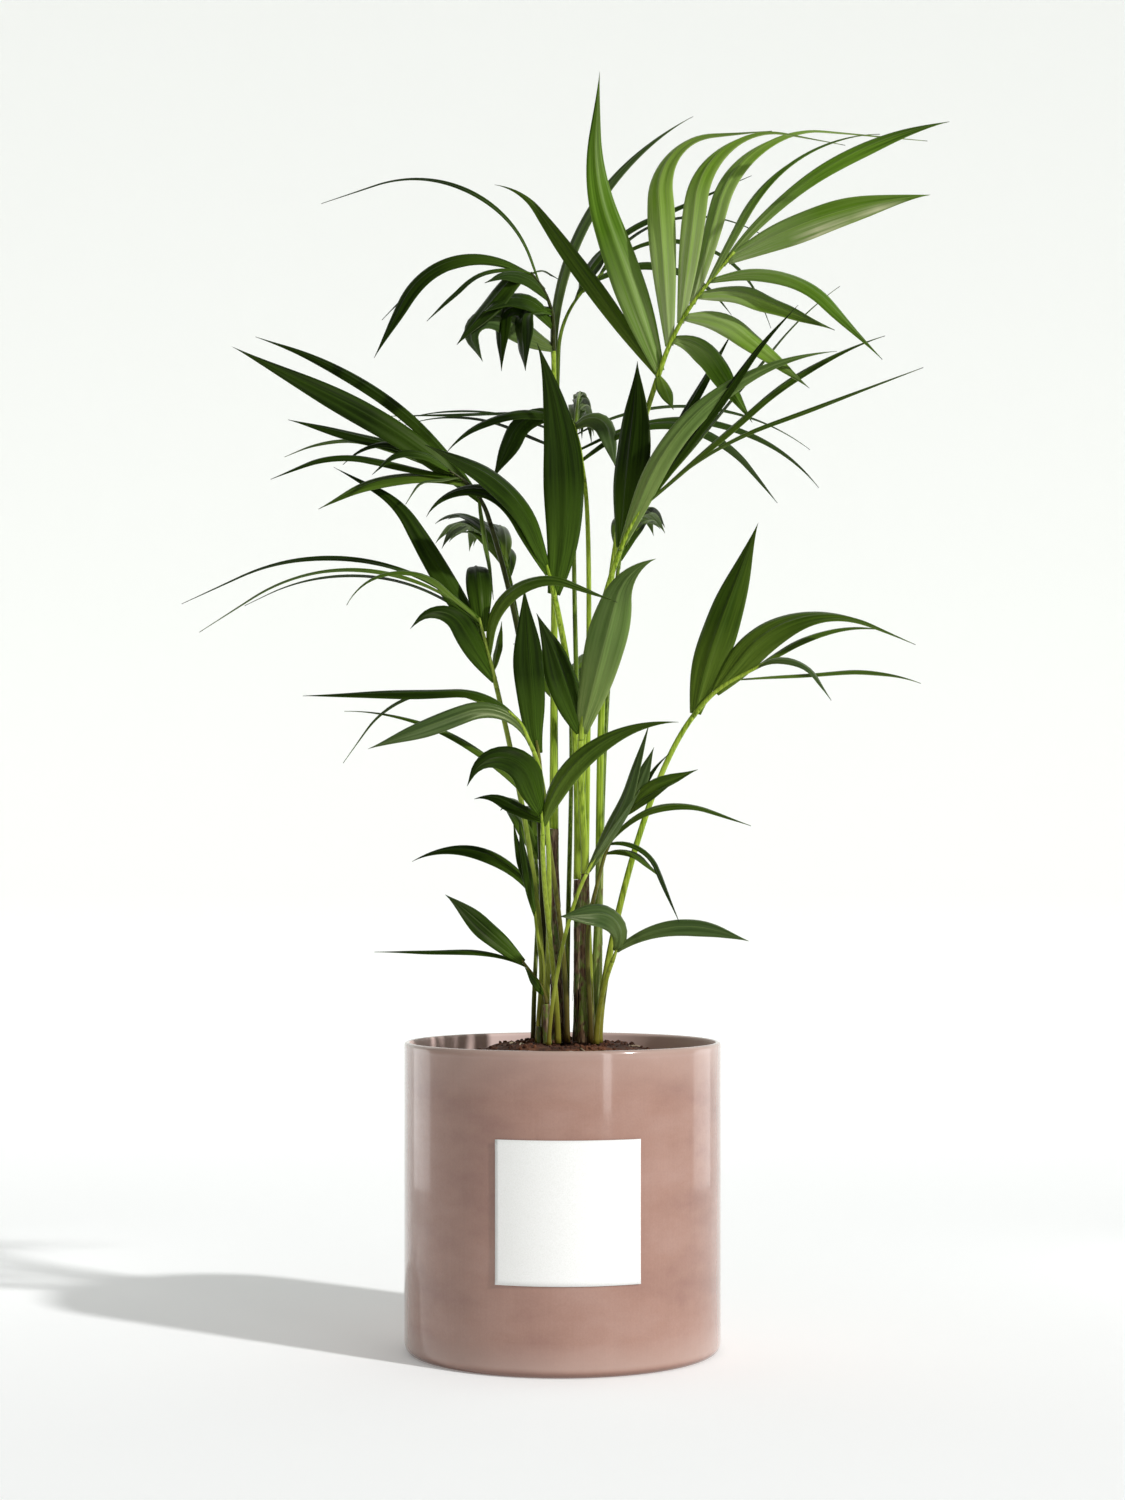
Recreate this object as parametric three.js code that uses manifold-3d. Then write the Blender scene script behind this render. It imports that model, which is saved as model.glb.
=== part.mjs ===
// A kentia palm growing as a clump of stems in a glazed cylindrical pot.
// Millimetres, +Z up. The origin is the middle of the pot's flat underside, and -Y is the front.
import * as THREE from 'three';
import { mergeVertices } from 'three/addons/utils/BufferGeometryUtils.js';
import Module from 'manifold-3d';

const wasm = await Module();
wasm.setup();

// ---------------------------------------------------------------- driving dimensions

const CLEARANCE = 0.3; // gap between pieces that rest on each other

const POT = {
  radius: 140,
  height: 272,
  wall: 6,
  floor: 12,
  footInset: 6,
  cornerRadius: 9,
  segments: 40,
};
const LABEL = {
  from: -23.4, // degrees round the pot from the front, positive to the right
  to: 27.5,
  bottom: 77,
  top: 198,
  thickness: 0.7,
  standOff: 0.45,
};
const SOIL = {
  crown: 271, // height of the flat middle that the stems stand on
  crownRadius: 54,
  shoulderRadius: 84,
  shoulder: 262,
  edge: 246,
  wallGap: 0.5,
};
const GROUND = SOIL.crown + CLEARANCE;

const STEM_SIDES = 8;
const PETIOLE_SIDES = 5;
const RIB_SIDES = 5;
const ARC_STEPS = 40;
const LEAFLET = {
  thinnest: 2.2, // thickness of a short leaflet at its midrib
  slenderness: 100, // a longer one is this part of its length thick
  neck: 0.3, // width at the rib, as a share of the full width
  taper: 1.3,
  stepLength: 60,
  fewestSteps: 3,
  mostSteps: 6,
  fold: 0.16, // how far the edges hang below the midrib, as a share of the half width
};

// ---------------------------------------------------------------- the plant's own sizes

// Stems stand on the soil: foot and top are [x, y, z], and radii run from foot to top.
const STEMS = {
  stem_main: { foot: [-4, 4], top: [-8, 8, 460], radii: [6.6, 4.4], flare: 1.6 },
  stem_brown: { foot: [14, 14], top: [14, 14, 415], radii: [4, 4.2], flare: 1.4 },
  stem_green: { foot: [19, -13], top: [20, -15, 420], radii: [4.6, 3.8], flare: 1.4 },
  stem_right: { foot: [28, 5], top: [33, 4, 435], radii: [4, 3.6], flare: 1.5 },
  stem_small: { foot: [-13, -25], top: [-14, -26, 306], radii: [3.4, 3], flare: 1.2 },
  stem_stub: { foot: [-19.5, -18.5], top: [-20.5, -19, 286], radii: [2.6, 2.2], flare: 1.2 },
};

// A frond is a petiole that rises from its foot to the junction, a rib that carries on from there,
// and leaflets along the rib. It is laid out in an upright plane: reach and length are measured in
// that plane, rise is the angle at the root above the horizontal to the right, bend is how far the
// piece has turned at its tip, anticlockwise, and depth is how far the tip goes back out of the plane.
// The bend is spread evenly between from and to, which are shares of the length, and the piece is
// straight before and after. heading turns the plane about the upright line through the junction.
// A leaflet is [place on the rib, reach, width, belly, rise, bend, from, to, depth, roll]. Its belly
// is where along it it is widest. Its roll is 0 when it lies flat to the front, 90 when its upper
// side faces up, and 180 when it shows its underside. An eleventh number, where there is one, turns
// the leaflet's own plane further from the frond's.
const FRONDS = {
  top_right: {
    foot: [33, 4], on: 'stem_right', junction: [83, -30, 853], hold: 0.42, swing: 0.34,
    radii: [3.4, 2.4],
    rib: { length: 124, rise: 71, bend: -22, from: 0.1, to: 0.7, depth: -25 },
    leaflets: [
      [0.02, 238, 17, 0.45, 124, 44, 0.8, 1, 60, 15],
      [0.05, 278, 27, 0.3, 109, -23, 0.5, 0.8, 20, 15],
      [0.23, 259, 25, 0.45, 94, -91, 0.5, 0.8, -10, 20],
      [0.4, 262, 21, 0.35, 83, -96, 0.4, 0.8, -30, 20],
      [0.55, 306, 19, 0.3, 75, -79, 0.3, 0.7, 20, 35],
      [0.72, 194, 12, 0.45, 61, -66, 0.3, 1, -60, 35],
      [0.88, 232, 15, 0.65, 54, -45, 0, 1, -20, 30],
      [0.93, 172, 26, 0.45, 22, -22, 0.2, 1, -60, 20],
      [0.75, 176, 16, 0.4, 6, -59, 0.1, 0.6, -90, 35],
      [0.62, 123, 20, 0.35, 4, -32, 0.1, 0.4, -50, 35],
      [0.45, 131, 19, 0.35, -9, -37, 0.1, 0.4, -70, 25],
      [0.28, 108, 19, 0.35, -5, -55, 0, 0.4, -30, 30],
      [0.02, 38, 13, 0.4, -73, 2, 0, 1, -30, 20],
    ],
  },
  top_back: {
    foot: [-6, 26], junction: [-5, 60, 859], hold: 0.4, swing: 0.2,
    radii: [3.4, 2.2],
    rib: { length: 125, rise: 88, bend: -47, from: 0.3, to: 0.9, depth: 10 },
    leaflets: [
      [0.03, 314, 13, 0.5, 99, -69, 0, 1, 60, 40],
      [0.7, 215, 11, 0.4, 73, -47, 0, 0.5, 40, 55],
      [0.95, 212, 11, 0.4, 57, -124, 0, 0.9, 60, 55],
      [0.96, 195, 11, 0.4, 67, -86, 0, 0.9, 90, 60],
      [0.9, 147, 14, 0.4, 29, -79, 0.1, 0.9, 30, 40],
      [0.78, 73, 18, 0.45, 79, -27, 0, 1, 70, 25],
    ],
  },
  top_left: {
    foot: [-8, 8], on: 'stem_main', junction: [-8, 10, 886], hold: 0.4, swing: 0.3,
    radii: [3.6, 2.2],
    rib: { length: 70, rise: 91, bend: 41, from: 0.3, to: 0.9, depth: -20 },
    leaflets: [
      [0.82, 256, 13, 0.4, 108, 86, 0.1, 0.8, 70, 72],
      [0.93, 189, 16, 0.6, 155, 88, 0.1, 0.7, -20, 35],
      [0.94, 154, 11, 0.4, 156, 69, 0.1, 0.8, 20, 60],
      [0.98, 113, 11, 0.55, 167, 64, 0, 0.6, -60, 45],
      [0.72, 115, 19, 0.5, 142, 94, 0.1, 0.3, -70, 30],
      [0.03, 115, 20, 0.4, 164, 132, 0.4, 0.8, -90, 25],
      [0.5, 101, 12, 0.4, 187, 83, 0.3, 0.5, -60, 35],
      [0.45, 90, 15, 0.4, 155, 118, 0, 0.4, -90, 35],
      [0.99, 27, 9, 0.4, 35, -47, 0.3, 0.6, 40, 55],
    ],
  },
  front: {
    foot: [14, 14], on: 'stem_brown', junction: [-7, -40, 661], hold: 0.45, swing: 0.35,
    radii: [3.8, 2.6],
    rib: { length: 27, rise: 103, bend: 4, depth: -10 },
    leaflets: [
      [0.06, 212, 37, 0.45, 76, 36, 0, 1, -50, 15],
      [0.72, 148, 21, 0.35, 116, 130, 0.3, 1, -70, 35],
      [0.95, 140, 17, 0.5, 113, 47, 0.2, 0.7, -100, 35],
    ],
  },
  upper_left: {
    foot: [-17, 9], junction: [-64, -10, 730], hold: 0.35, swing: 0.35,
    radii: [3.2, 2.2],
    rib: { length: 58, rise: 108, bend: 40, from: 0.1, to: 0.8, depth: -20 },
    leaflets: [
      [0.35, 248, 21, 0.47, 137, 18, 0, 0.6, -45, 20],
      [0.3, 267, 11, 0.55, 122, 37, 0, 0.9, 60, 45],
      [0.93, 158, 11, 0.5, 148, 16, 0, 0.5, 40, 45],
      [0.88, 169, 10, 0.5, 154, 43, 0.4, 0.9, 90, 62],
      [0.75, 171, 11, 0.5, 169, 35, 0.5, 0.8, -20, 55],
      [0.6, 138, 12, 0.5, 161, 49, 0, 0.8, -25, 45],
      [1, 103, 9, 0.4, 153, 68, 0.4, 0.9, 10, 55],
      [0.97, 76, 10, 0.4, 149, 80, 0.2, 0.8, -40, 50],
      [0.8, 58, 9, 0.4, 192, 51, 0.5, 0.7, -30, 60],
      [0.4, 93, 9, 0.4, 279, -4, 0.6, 1, -15, 60],
    ],
  },
  left: {
    foot: [-16, -4], junction: [-57, -50, 581], hold: 0.4, swing: 0.3,
    radii: [3, 2.2],
    rib: { length: 60, rise: 103, bend: 2, depth: -20 },
    leaflets: [
      [0.57, 217, 21, 0.3, 121, 30, 0.6, 0.8, 40, 28],
      [0.8, 110, 22, 0.4, 85, -115, 0.2, 1, 10, 90, 90],
      [0.1, 104, 22, 0.4, 122, 109, 0.5, 0.9, -60, 25],
      [0.47, 152, 16, 0.35, 86, -110, 0.1, 0.7, -70, 40],
      [0.23, 46, 9, 0.4, 77, 8, 0, 1, 20, 40],
      [1, 286, 13, 0.4, 135, 68, 0, 0.8, 60, 70],
      [0.88, 233, 11, 0.4, 136, 66, 0, 0.9, 100, 70],
      [0.93, 267, 11, 0.4, 135, 78, 0, 0.8, 0, 74],
      [0.97, 135, 10, 0.4, 140, 106, 0.3, 1, -40, 55],
    ],
  },
  middle_left: {
    foot: [-14, -15], junction: [-25, -75, 525], hold: 0.3, swing: 0.2,
    radii: [2.6, 1.9],
    rib: { length: 40, rise: 114, bend: 25, from: 0.5, to: 0.8, depth: -10 },
    leaflets: [
      [0.12, 217, 14, 0.5, 110, 71, 0, 0.4, 20, 45],
      [0.35, 146, 18, 0.55, 118, 84, 0, 0.4, -50, 25],
      [0.9, 177, 9, 0.4, 156, 77, 0.2, 0.8, 60, 65],
    ],
  },
  low_front: {
    foot: [-4, -20], junction: [-17, -75, 453], hold: 0.3, swing: 0.3,
    radii: [2.6, 2],
    rib: { length: 20, rise: 89, bend: 7, depth: -5 },
    leaflets: [
      [0.88, 102, 27, 0.35, 109, 139, 0.3, 0.9, -70, 22],
      [0.82, 202, 10, 0.3, 124, 56, 0, 1, 30, 60],
      [0.57, 65, 14, 0.4, 152, 46, 0.6, 1, 40, 35],
      [0.4, 153, 20, 0.3, 76, -79, 0, 1, -60, 31],
    ],
  },
  inner_right: {
    foot: [20, -15], on: 'stem_green', junction: [16, -32, 537], hold: 0.35, swing: 0.35,
    radii: [3.6, 2.8],
    rib: { length: 24, rise: 86, bend: -1, depth: -5 },
    leaflets: [
      [0.25, 110, 31, 0.4, 109, 6, 0.6, 0.8, -15, 20],
      [0.25, 163, 27, 0.5, 75, -61, 0.7, 1, -65, 22],
    ],
  },
  inner_left: {
    foot: [4, -10], junction: [-20, -52, 516], hold: 0.4, swing: 0.35,
    radii: [2.6, 2],
    rib: { length: 19, rise: 95, bend: 6, depth: -4 },
    leaflets: [[0.4, 142, 28, 0.5, 103, -9, 0, 0.2, -20, 20]],
  },
  upper_right: {
    foot: [25, -4], junction: [50, -50, 700], hold: 0.4, swing: 0.35,
    radii: [3.2, 2.4],
    rib: { length: 45, rise: 69, bend: -17, depth: -10 },
    leaflets: [
      [0.06, 166, 34, 0.5, 84, 4, 0.6, 0.9, 20, 24],
      [0.1, 254, 21, 0.3, 67, -66, 0.2, 1, -60, 25],
      [0.95, 204, 12, 0.45, 53, -8, 0.7, 0.9, -55, 41],
      [1, 259, 9, 0.4, 51, -15, 0.7, 1, 30, 68],
      [0.97, 243, 11, 0.6, 40, -25, 0.5, 1, -50, 50],
      [0.98, 249, 11, 0.6, 43, -26, 0, 0.5, -90, 65],
      [0.92, 184, 11, 0.6, 69, -8, 0.1, 0.6, 60, 50],
    ],
  },
  behind: {
    foot: [20, 30], junction: [20, 60, 779], hold: 0.4, swing: 0.15,
    radii: [3, 2],
    rib: { length: 66, rise: 97, bend: 16, from: 0.4, to: 1, depth: 30 },
    leaflets: [
      [0.82, 111, 22, 0.6, 129, 115, 0, 0.6, 10, 25],
      [0.6, 190, 11, 0.4, 134, 44, 0, 0.4, 60, 65],
      [0.53, 184, 10, 0.4, 142, 49, 0, 1, 100, 68],
      [0.33, 182, 10, 0.4, 151, 41, 0.4, 1, 110, 68],
      [0.88, 129, 16, 0.4, 157, 76, 0, 1, -20, 45],
      [0.82, 75, 22, 0.4, 31, -109, 0.1, 0.5, -30, 35],
      [0.7, 239, 11, 0.4, 35, -67, 0, 1, 110, 65],
      [0.47, 249, 13, 0.6, 29, -79, 0.1, 1, 60, 55],
      [0.3, 217, 14, 0.6, 38, -89, 0.1, 0.8, 20, 45],
    ],
  },
  right: {
    foot: [32, -9], junction: [116, 0, 560], hold: 0.2, swing: 0.25,
    radii: [3.4, 2.4],
    rib: { length: 78, rise: 52, bend: -25, from: 0.1, to: 0.6, depth: -25 },
    leaflets: [
      [0.03, 177, 34, 0.4, 79, -9, 0, 0.4, -10, 18],
      [0.35, 202, 29, 0.25, 51, -77, 0.2, 0.8, -40, 25],
      [0.82, 128, 11, 0.4, 32, -40, 0.3, 1, 30, 50],
      [0.88, 80, 11, 0.4, 34, -95, 0, 0.7, -50, 50],
      [0.6, 172, 9, 0.7, 5, -25, 0.6, 1, 40, 65],
    ],
  },
  low_right: {
    foot: [25, -20], junction: [26, -24, 393], hold: 0.4, swing: 0.3,
    radii: [2.4, 2],
    rib: { length: 92, rise: 76, bend: -18, from: 0.4, to: 0.7, depth: -12 },
    leaflets: [
      [0.97, 59, 13, 0.4, 74, -6, 0.1, 0.3, 0, 25],
      [1, 67, 14, 0.4, 55, -36, 0.1, 0.5, -20, 35],
      [0.96, 63, 9, 0.4, 62, -19, 0.4, 0.9, 20, 70],
      [0.93, 47, 9, 0.4, 41, -11, 0.2, 0.5, -30, 50],
      [0.65, 129, 11, 0.4, 54, -75, 0, 0.7, -60, 50],
      [0.6, 99, 10, 0.4, 13, -82, 0, 0.5, -60, 50],
      [0.5, 59, 9, 0.4, 12, -56, 0.1, 0.6, -10, 55],
    ],
  },
  young_right: {
    foot: [-12, -44], junction: [21, -48, 420], hold: 0.15, swing: 0.3,
    radii: [2, 1.7],
    rib: { length: 25, rise: 62, bend: -3, depth: -3 },
    leaflets: [
      [0.1, 138, 15, 0.4, 62, 11, 0.4, 0.6, -20, 32],
      [0.42, 74, 10, 0.4, 56, 2, 0, 1, -25, 135],
    ],
  },
  lowest_right: {
    foot: [29.5, -30], junction: [43, -55, 344], hold: 0.3, swing: 0.3,
    radii: [2.6, 2],
    rib: { length: 13, rise: 69, bend: 3, depth: -3 },
    leaflets: [
      [0.72, 76, 23, 0.55, 55, 128, 0, 0.6, -45, 25],
      [0.78, 119, 16, 0.6, 38, -56, 0, 0.8, -20, 35],
    ],
  },
  lowest_left: {
    on: 'stem_small', junction: [-14, -26, 306.3],
    radii: [2.4, 2],
    rib: { length: 45, rise: 97, bend: 30, from: 0, to: 0.5, depth: -3 },
    leaflets: [
      [0.93, 90, 21, 0.5, 138, 7, 0.8, 1, -20, 25],
      [0.82, 135, 8, 0.4, 151, 29, 0, 0.4, -10, 62],
      [0.18, 30, 10, 0.4, 125, -2, 0, 1, -30, 40],
    ],
  },
  low_left: {
    foot: [-22, -11], junction: [-20, -18, 352], hold: 0.3, swing: 0.3,
    radii: [2.2, 1.8],
    rib: { length: 52, rise: 98, bend: -2, depth: 0 },
    leaflets: [
      [0.97, 124, 14, 0.4, 120, 90, 0, 1, 30, 40],
      [0.6, 84, 10, 0.4, 100, -6, 0.7, 1, -40, 40],
      [0.88, 70, 10, 0.4, 107, -10, 0.4, 1, -30, 40],
    ],
  },
  back_left: {
    foot: [-14, 38], junction: [-48, 105, 690], heading: 112, hold: 0.45, swing: 0.3,
    radii: [3, 2],
    rib: { length: 110, rise: 66, bend: -45, depth: 0 },
    pairs: { count: 4, reach: 115, width: 22, spread: 40, rise: 20, bend: -75 },
  },
  back_right: {
    foot: [33, 26], junction: [52, 110, 705], heading: 78, hold: 0.45, swing: 0.3,
    radii: [3, 2],
    rib: { length: 110, rise: 66, bend: -45, depth: 0 },
    pairs: { count: 4, reach: 115, width: 22, spread: 35, rise: 20, bend: -72 },
  },
  back_middle: {
    foot: [4, 44], junction: [8, 120, 560], heading: 92, hold: 0.4, swing: 0.3,
    radii: [2.8, 2],
    rib: { length: 90, rise: 60, bend: -40, depth: 0 },
    pairs: { count: 3, reach: 105, width: 22, spread: 60, rise: 20, bend: -70 },
  },
  back_low: {
    foot: [-26, 26], junction: [-24, 80, 430], heading: 100, hold: 0.4, swing: 0.3,
    radii: [2.4, 1.8],
    rib: { length: 60, rise: 58, bend: -30, depth: 0 },
    pairs: { count: 3, reach: 95, width: 20, spread: 25, rise: 18, bend: -70 },
  },
  back_top: {
    foot: [18, 46], junction: [12, 110, 830], heading: 86, hold: 0.45, swing: 0.3,
    radii: [3, 2],
    rib: { length: 90, rise: 74, bend: -50, depth: 0 },
    pairs: { count: 3, reach: 120, width: 22, spread: 14, rise: 14, bend: -85 },
  },
};

// ---------------------------------------------------------------- materials

const glaze = new THREE.MeshStandardMaterial({ color: 0xb09288, roughness: 0.18, metalness: 0 });
const paper = new THREE.MeshStandardMaterial({ color: 0xfafafa, roughness: 0.45, metalness: 0 });
const peat = new THREE.MeshStandardMaterial({ color: 0x4a2c1c, roughness: 1, metalness: 0 });
const bark = new THREE.MeshStandardMaterial({ color: 0x4b3a22, roughness: 0.85, metalness: 0 });
const stalk = new THREE.MeshStandardMaterial({ color: 0x8fa13a, roughness: 0.45, metalness: 0 });
const leaf = new THREE.MeshStandardMaterial({ color: 0x2c4a18, roughness: 0.4, metalness: 0 });

// ---------------------------------------------------------------- shared construction

const FRONT = new THREE.Vector3(0, -1, 0);
const plant = new THREE.Group();

/** Adds one named piece to the group. */
function addPiece(name, geometry, material) {
  const mesh = new THREE.Mesh(geometry, material);
  mesh.name = name;
  plant.add(mesh);
}

/** Leaves only shared positions, so that the surface is closed. */
function closed(geometry) {
  geometry.deleteAttribute('normal');
  geometry.deleteAttribute('uv');
  return mergeVertices(geometry, 1e-4);
}

/** Turns a closed geometry into a solid that can be joined. */
function solidOf(geometry) {
  const merged = closed(geometry);
  return new wasm.Manifold(new wasm.Mesh({
    numProp: 3,
    vertProperties: new Float32Array(merged.attributes.position.array),
    triVerts: new Uint32Array(merged.index.array),
  }));
}

/** Turns a joined solid back into a geometry. */
function geometryOf(solid) {
  const mesh = solid.getMesh();
  const geometry = new THREE.BufferGeometry();
  geometry.setAttribute('position', new THREE.BufferAttribute(mesh.vertProperties, 3));
  geometry.setIndex(new THREE.BufferAttribute(mesh.triVerts, 1));
  return geometry;
}

/** The largest body of a joined solid: it drops loose scraps and fills hollows that joining sealed. */
function mainBody(solid) {
  return solid.decompose().reduce((a, b) => (b.volume() > a.volume() ? b : a));
}

/** Moves each vertex of a unit cylinder or cone standing on Y to where place(along, u, v) says. */
function sweep(geometry, place) {
  const position = geometry.attributes.position;
  for (let i = 0; i < position.count; i += 1) {
    const along = position.getY(i) + 0.5;
    const point = place(along, position.getX(i), position.getZ(i));
    position.setXYZ(i, point.x, point.y, point.z);
  }
  return geometry;
}

/** A tapering limb with round sections square to its curve. */
function limb(curve, radiusAt, sides, steps, reference) {
  const cylinder = new THREE.CylinderGeometry(1, 1, 1, sides, steps);
  return sweep(cylinder, (along, u, v) => {
    const tangent = curve.getTangent(along);
    const across = new THREE.Vector3().crossVectors(tangent, reference).normalize();
    const other = new THREE.Vector3().crossVectors(across, tangent);
    const radius = radiusAt(along);
    return curve.getPoint(along).addScaledVector(across, u * radius).addScaledVector(other, v * radius);
  });
}

/** A curve that turns evenly in its plane over a part of its length, while it drifts out of it. */
class Arc extends THREE.Curve {
  constructor({ root, plane, reach, rise, bend, from = 0, to = 1, depth }) {
    super();
    Object.assign(this, { root, plane, reach, depth, from, to });
    this.rise = THREE.MathUtils.degToRad(rise);
    this.bend = THREE.MathUtils.degToRad(bend);
    this.places = [[0, 0]];
    const step = reach / ARC_STEPS;
    for (let i = 0; i < ARC_STEPS; i += 1) {
      const [x, z] = this.places[i];
      const angle = this.angleAt((i + 0.5) / ARC_STEPS);
      this.places.push([x + step * Math.cos(angle), z + step * Math.sin(angle)]);
    }
  }

  angleAt(t) {
    return this.rise + this.bend * THREE.MathUtils.clamp((t - this.from) / (this.to - this.from), 0, 1);
  }

  getPoint(t, target = new THREE.Vector3()) {
    const before = Math.min(Math.floor(t * ARC_STEPS), ARC_STEPS - 1);
    const share = t * ARC_STEPS - before;
    const [x0, z0] = this.places[before];
    const [x1, z1] = this.places[before + 1];
    return target.copy(this.root)
      .addScaledVector(this.plane.right, THREE.MathUtils.lerp(x0, x1, share))
      .addScaledVector(this.plane.back, this.depth * t)
      .addScaledVector(this.plane.up, THREE.MathUtils.lerp(z0, z1, share));
  }

  getTangent(t, target = new THREE.Vector3()) {
    return target.set(0, 0, 0)
      .addScaledVector(this.plane.right, this.reach * Math.cos(this.angleAt(t)))
      .addScaledVector(this.plane.back, this.depth)
      .addScaledVector(this.plane.up, this.reach * Math.sin(this.angleAt(t)))
      .normalize();
  }
}

/** The upright plane in which a frond is laid out. */
function planeOf(heading) {
  const turn = THREE.MathUtils.degToRad(heading);
  return {
    right: new THREE.Vector3(Math.cos(turn), Math.sin(turn), 0),
    back: new THREE.Vector3(-Math.sin(turn), Math.cos(turn), 0),
    up: new THREE.Vector3(0, 0, 1),
  };
}

// ---------------------------------------------------------------- pot, label and soil

/** The pot: a straight cylinder with a small rounded foot and a thin rounded lip. */
function potGeometry() {
  const { radius, height, wall, floor, footInset, cornerRadius } = POT;
  const lip = wall / 2;
  const inside = radius - wall;
  const outline = new THREE.Path();
  outline.moveTo(0, 0);
  outline.lineTo(radius - footInset, 0);
  outline.quadraticCurveTo(radius, 0, radius, cornerRadius);
  outline.lineTo(radius, height - lip);
  outline.absarc(radius - lip, height - lip, lip, 0, Math.PI, false);
  outline.lineTo(inside, floor);
  outline.lineTo(0, floor);
  return new THREE.LatheGeometry(outline.getPoints(4), POT.segments);
}

/** The blank label: a thin sheet that follows the pot's front. */
function labelGeometry() {
  const steps = 12;
  const sheet = new THREE.BoxGeometry(1, 1, 1, steps, 1, 1);
  const position = sheet.attributes.position;
  const inner = POT.radius + LABEL.standOff;
  for (let i = 0; i < position.count; i += 1) {
    const share = position.getX(i) + 0.5;
    const angle = THREE.MathUtils.degToRad(THREE.MathUtils.lerp(LABEL.from, LABEL.to, share));
    const radius = inner + LABEL.thickness * (0.5 - position.getY(i));
    const z = THREE.MathUtils.lerp(LABEL.bottom, LABEL.top, position.getZ(i) + 0.5);
    position.setXYZ(i, radius * Math.sin(angle), -radius * Math.cos(angle), z);
  }
  return sheet;
}

/** The soil: it fills the pot and mounds up to the rim in the middle. */
function soilGeometry() {
  const edgeRadius = POT.radius - POT.wall - SOIL.wallGap;
  const bottom = POT.floor + CLEARANCE;
  const outline = [
    [0, bottom],
    [edgeRadius, bottom],
    [edgeRadius, SOIL.edge],
    [(edgeRadius + SOIL.shoulderRadius) / 2, (SOIL.edge + SOIL.shoulder) / 2 + 1],
    [SOIL.shoulderRadius, SOIL.shoulder],
    [SOIL.crownRadius, SOIL.crown],
    [0, SOIL.crown],
  ].map(([r, z]) => new THREE.Vector2(r, z));
  return new THREE.LatheGeometry(outline, POT.segments);
}

/** Stands a lathe's axis upright. */
function upright(geometry) {
  return geometry.rotateX(Math.PI / 2);
}

// ---------------------------------------------------------------- stems, petioles and fronds

/** A stem: flared where it leaves the soil, cut flat at both ends. */
function stemGeometry({ foot, top, radii, flare }) {
  const start = new THREE.Vector3(foot[0], foot[1], GROUND);
  const end = new THREE.Vector3(...top);
  const height = end.z - start.z;
  const curve = new THREE.CubicBezierCurve3(
    start,
    start.clone().setZ(start.z + height / 3),
    end.clone().setZ(end.z - height / 3),
    end,
  );
  const spread = 18 / height;
  const radiusAt = (t) => {
    const plain = THREE.MathUtils.lerp(radii[0], radii[1], t);
    return plain * (1 + (flare - 1) * Math.exp(-t / spread));
  };
  return limb(curve, radiusAt, STEM_SIDES, 5, FRONT);
}

/** The petiole: upright at its foot, and in line with the rib at the junction. */
function petioleGeometry(frond, plane) {
  const { foot, junction, hold, swing, radii } = frond;
  const base = frond.on ? STEMS[frond.on].top[2] + CLEARANCE : GROUND;
  const start = new THREE.Vector3(foot[0], foot[1], base);
  const rib = ribCurve(frond, plane);
  const away = rib.getTangent(0);
  const end = new THREE.Vector3(...junction).addScaledVector(away, -CLEARANCE);
  const length = start.distanceTo(end);
  const curve = new THREE.CubicBezierCurve3(
    start,
    start.clone().setZ(start.z + hold * length),
    end.clone().addScaledVector(away, -swing * length),
    end,
  );
  const radiusAt = (t) => THREE.MathUtils.lerp(radii[0], radii[1], t);
  const side = plane.back.clone().negate();
  return limb(curve, radiusAt, PETIOLE_SIDES, 6, side);
}

/** The line of a frond's rib. */
function ribCurve(frond, plane) {
  const { length, rise, bend, from, to, depth } = frond.rib;
  const root = new THREE.Vector3(...frond.junction);
  return new Arc({ root, plane, reach: length, rise, bend, from, to, depth });
}

/** A leaflet's width along its length, as a share of its full width. */
function leafletWidth(t, belly) {
  const { neck, taper } = LEAFLET;
  if (t < belly) {
    return neck + (1 - neck) * Math.sin((Math.PI / 2) * (t / belly));
  }
  return Math.cos((Math.PI / 2) * ((t - belly) / (1 - belly))) ** taper;
}

/** One leaflet: a blade folded along its midrib that narrows to a point. */
function leafletGeometry(row, rib, frond) {
  const [place, reach, width, belly, rise, bend, from, to, depth, roll, aside = 0] = row;
  const plane = planeOf((frond.heading ?? 0) + aside);
  const curve = new Arc({ root: rib.getPoint(place), plane, reach, rise, bend, from, to, depth });
  const thickness = Math.max(LEAFLET.thinnest, Math.hypot(reach, depth) / LEAFLET.slenderness);
  const turn = THREE.MathUtils.degToRad(roll);
  const upside = Math.cos(THREE.MathUtils.degToRad(rise + bend / 2)) < 0 ? -1 : 1;
  const wanted = 2 + Math.round(reach / LEAFLET.stepLength);
  const steps = THREE.MathUtils.clamp(wanted, LEAFLET.fewestSteps, LEAFLET.mostSteps);
  return sweep(new THREE.ConeGeometry(1, 1, 4, steps), (along, x, z) => {
    const undo = along < 1 ? 1 / (1 - along) : 0;
    const u = x * undo;
    const v = z * undo;
    const angle = curve.angleAt(along);
    const face = new THREE.Vector3()
      .addScaledVector(plane.back, -Math.cos(turn))
      .addScaledVector(plane.right, -Math.sin(turn) * upside * Math.sin(angle))
      .addScaledVector(plane.up, Math.sin(turn) * upside * Math.cos(angle));
    const tangent = curve.getTangent(along);
    const across = new THREE.Vector3().crossVectors(tangent, face).normalize();
    const normal = new THREE.Vector3().crossVectors(across, tangent);
    const half = (width / 2) * leafletWidth(along, belly);
    const lift = v * thickness / 2 - Math.abs(u) * half * LEAFLET.fold;
    return curve.getPoint(along).addScaledVector(across, u * half).addScaledVector(normal, lift);
  });
}

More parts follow.
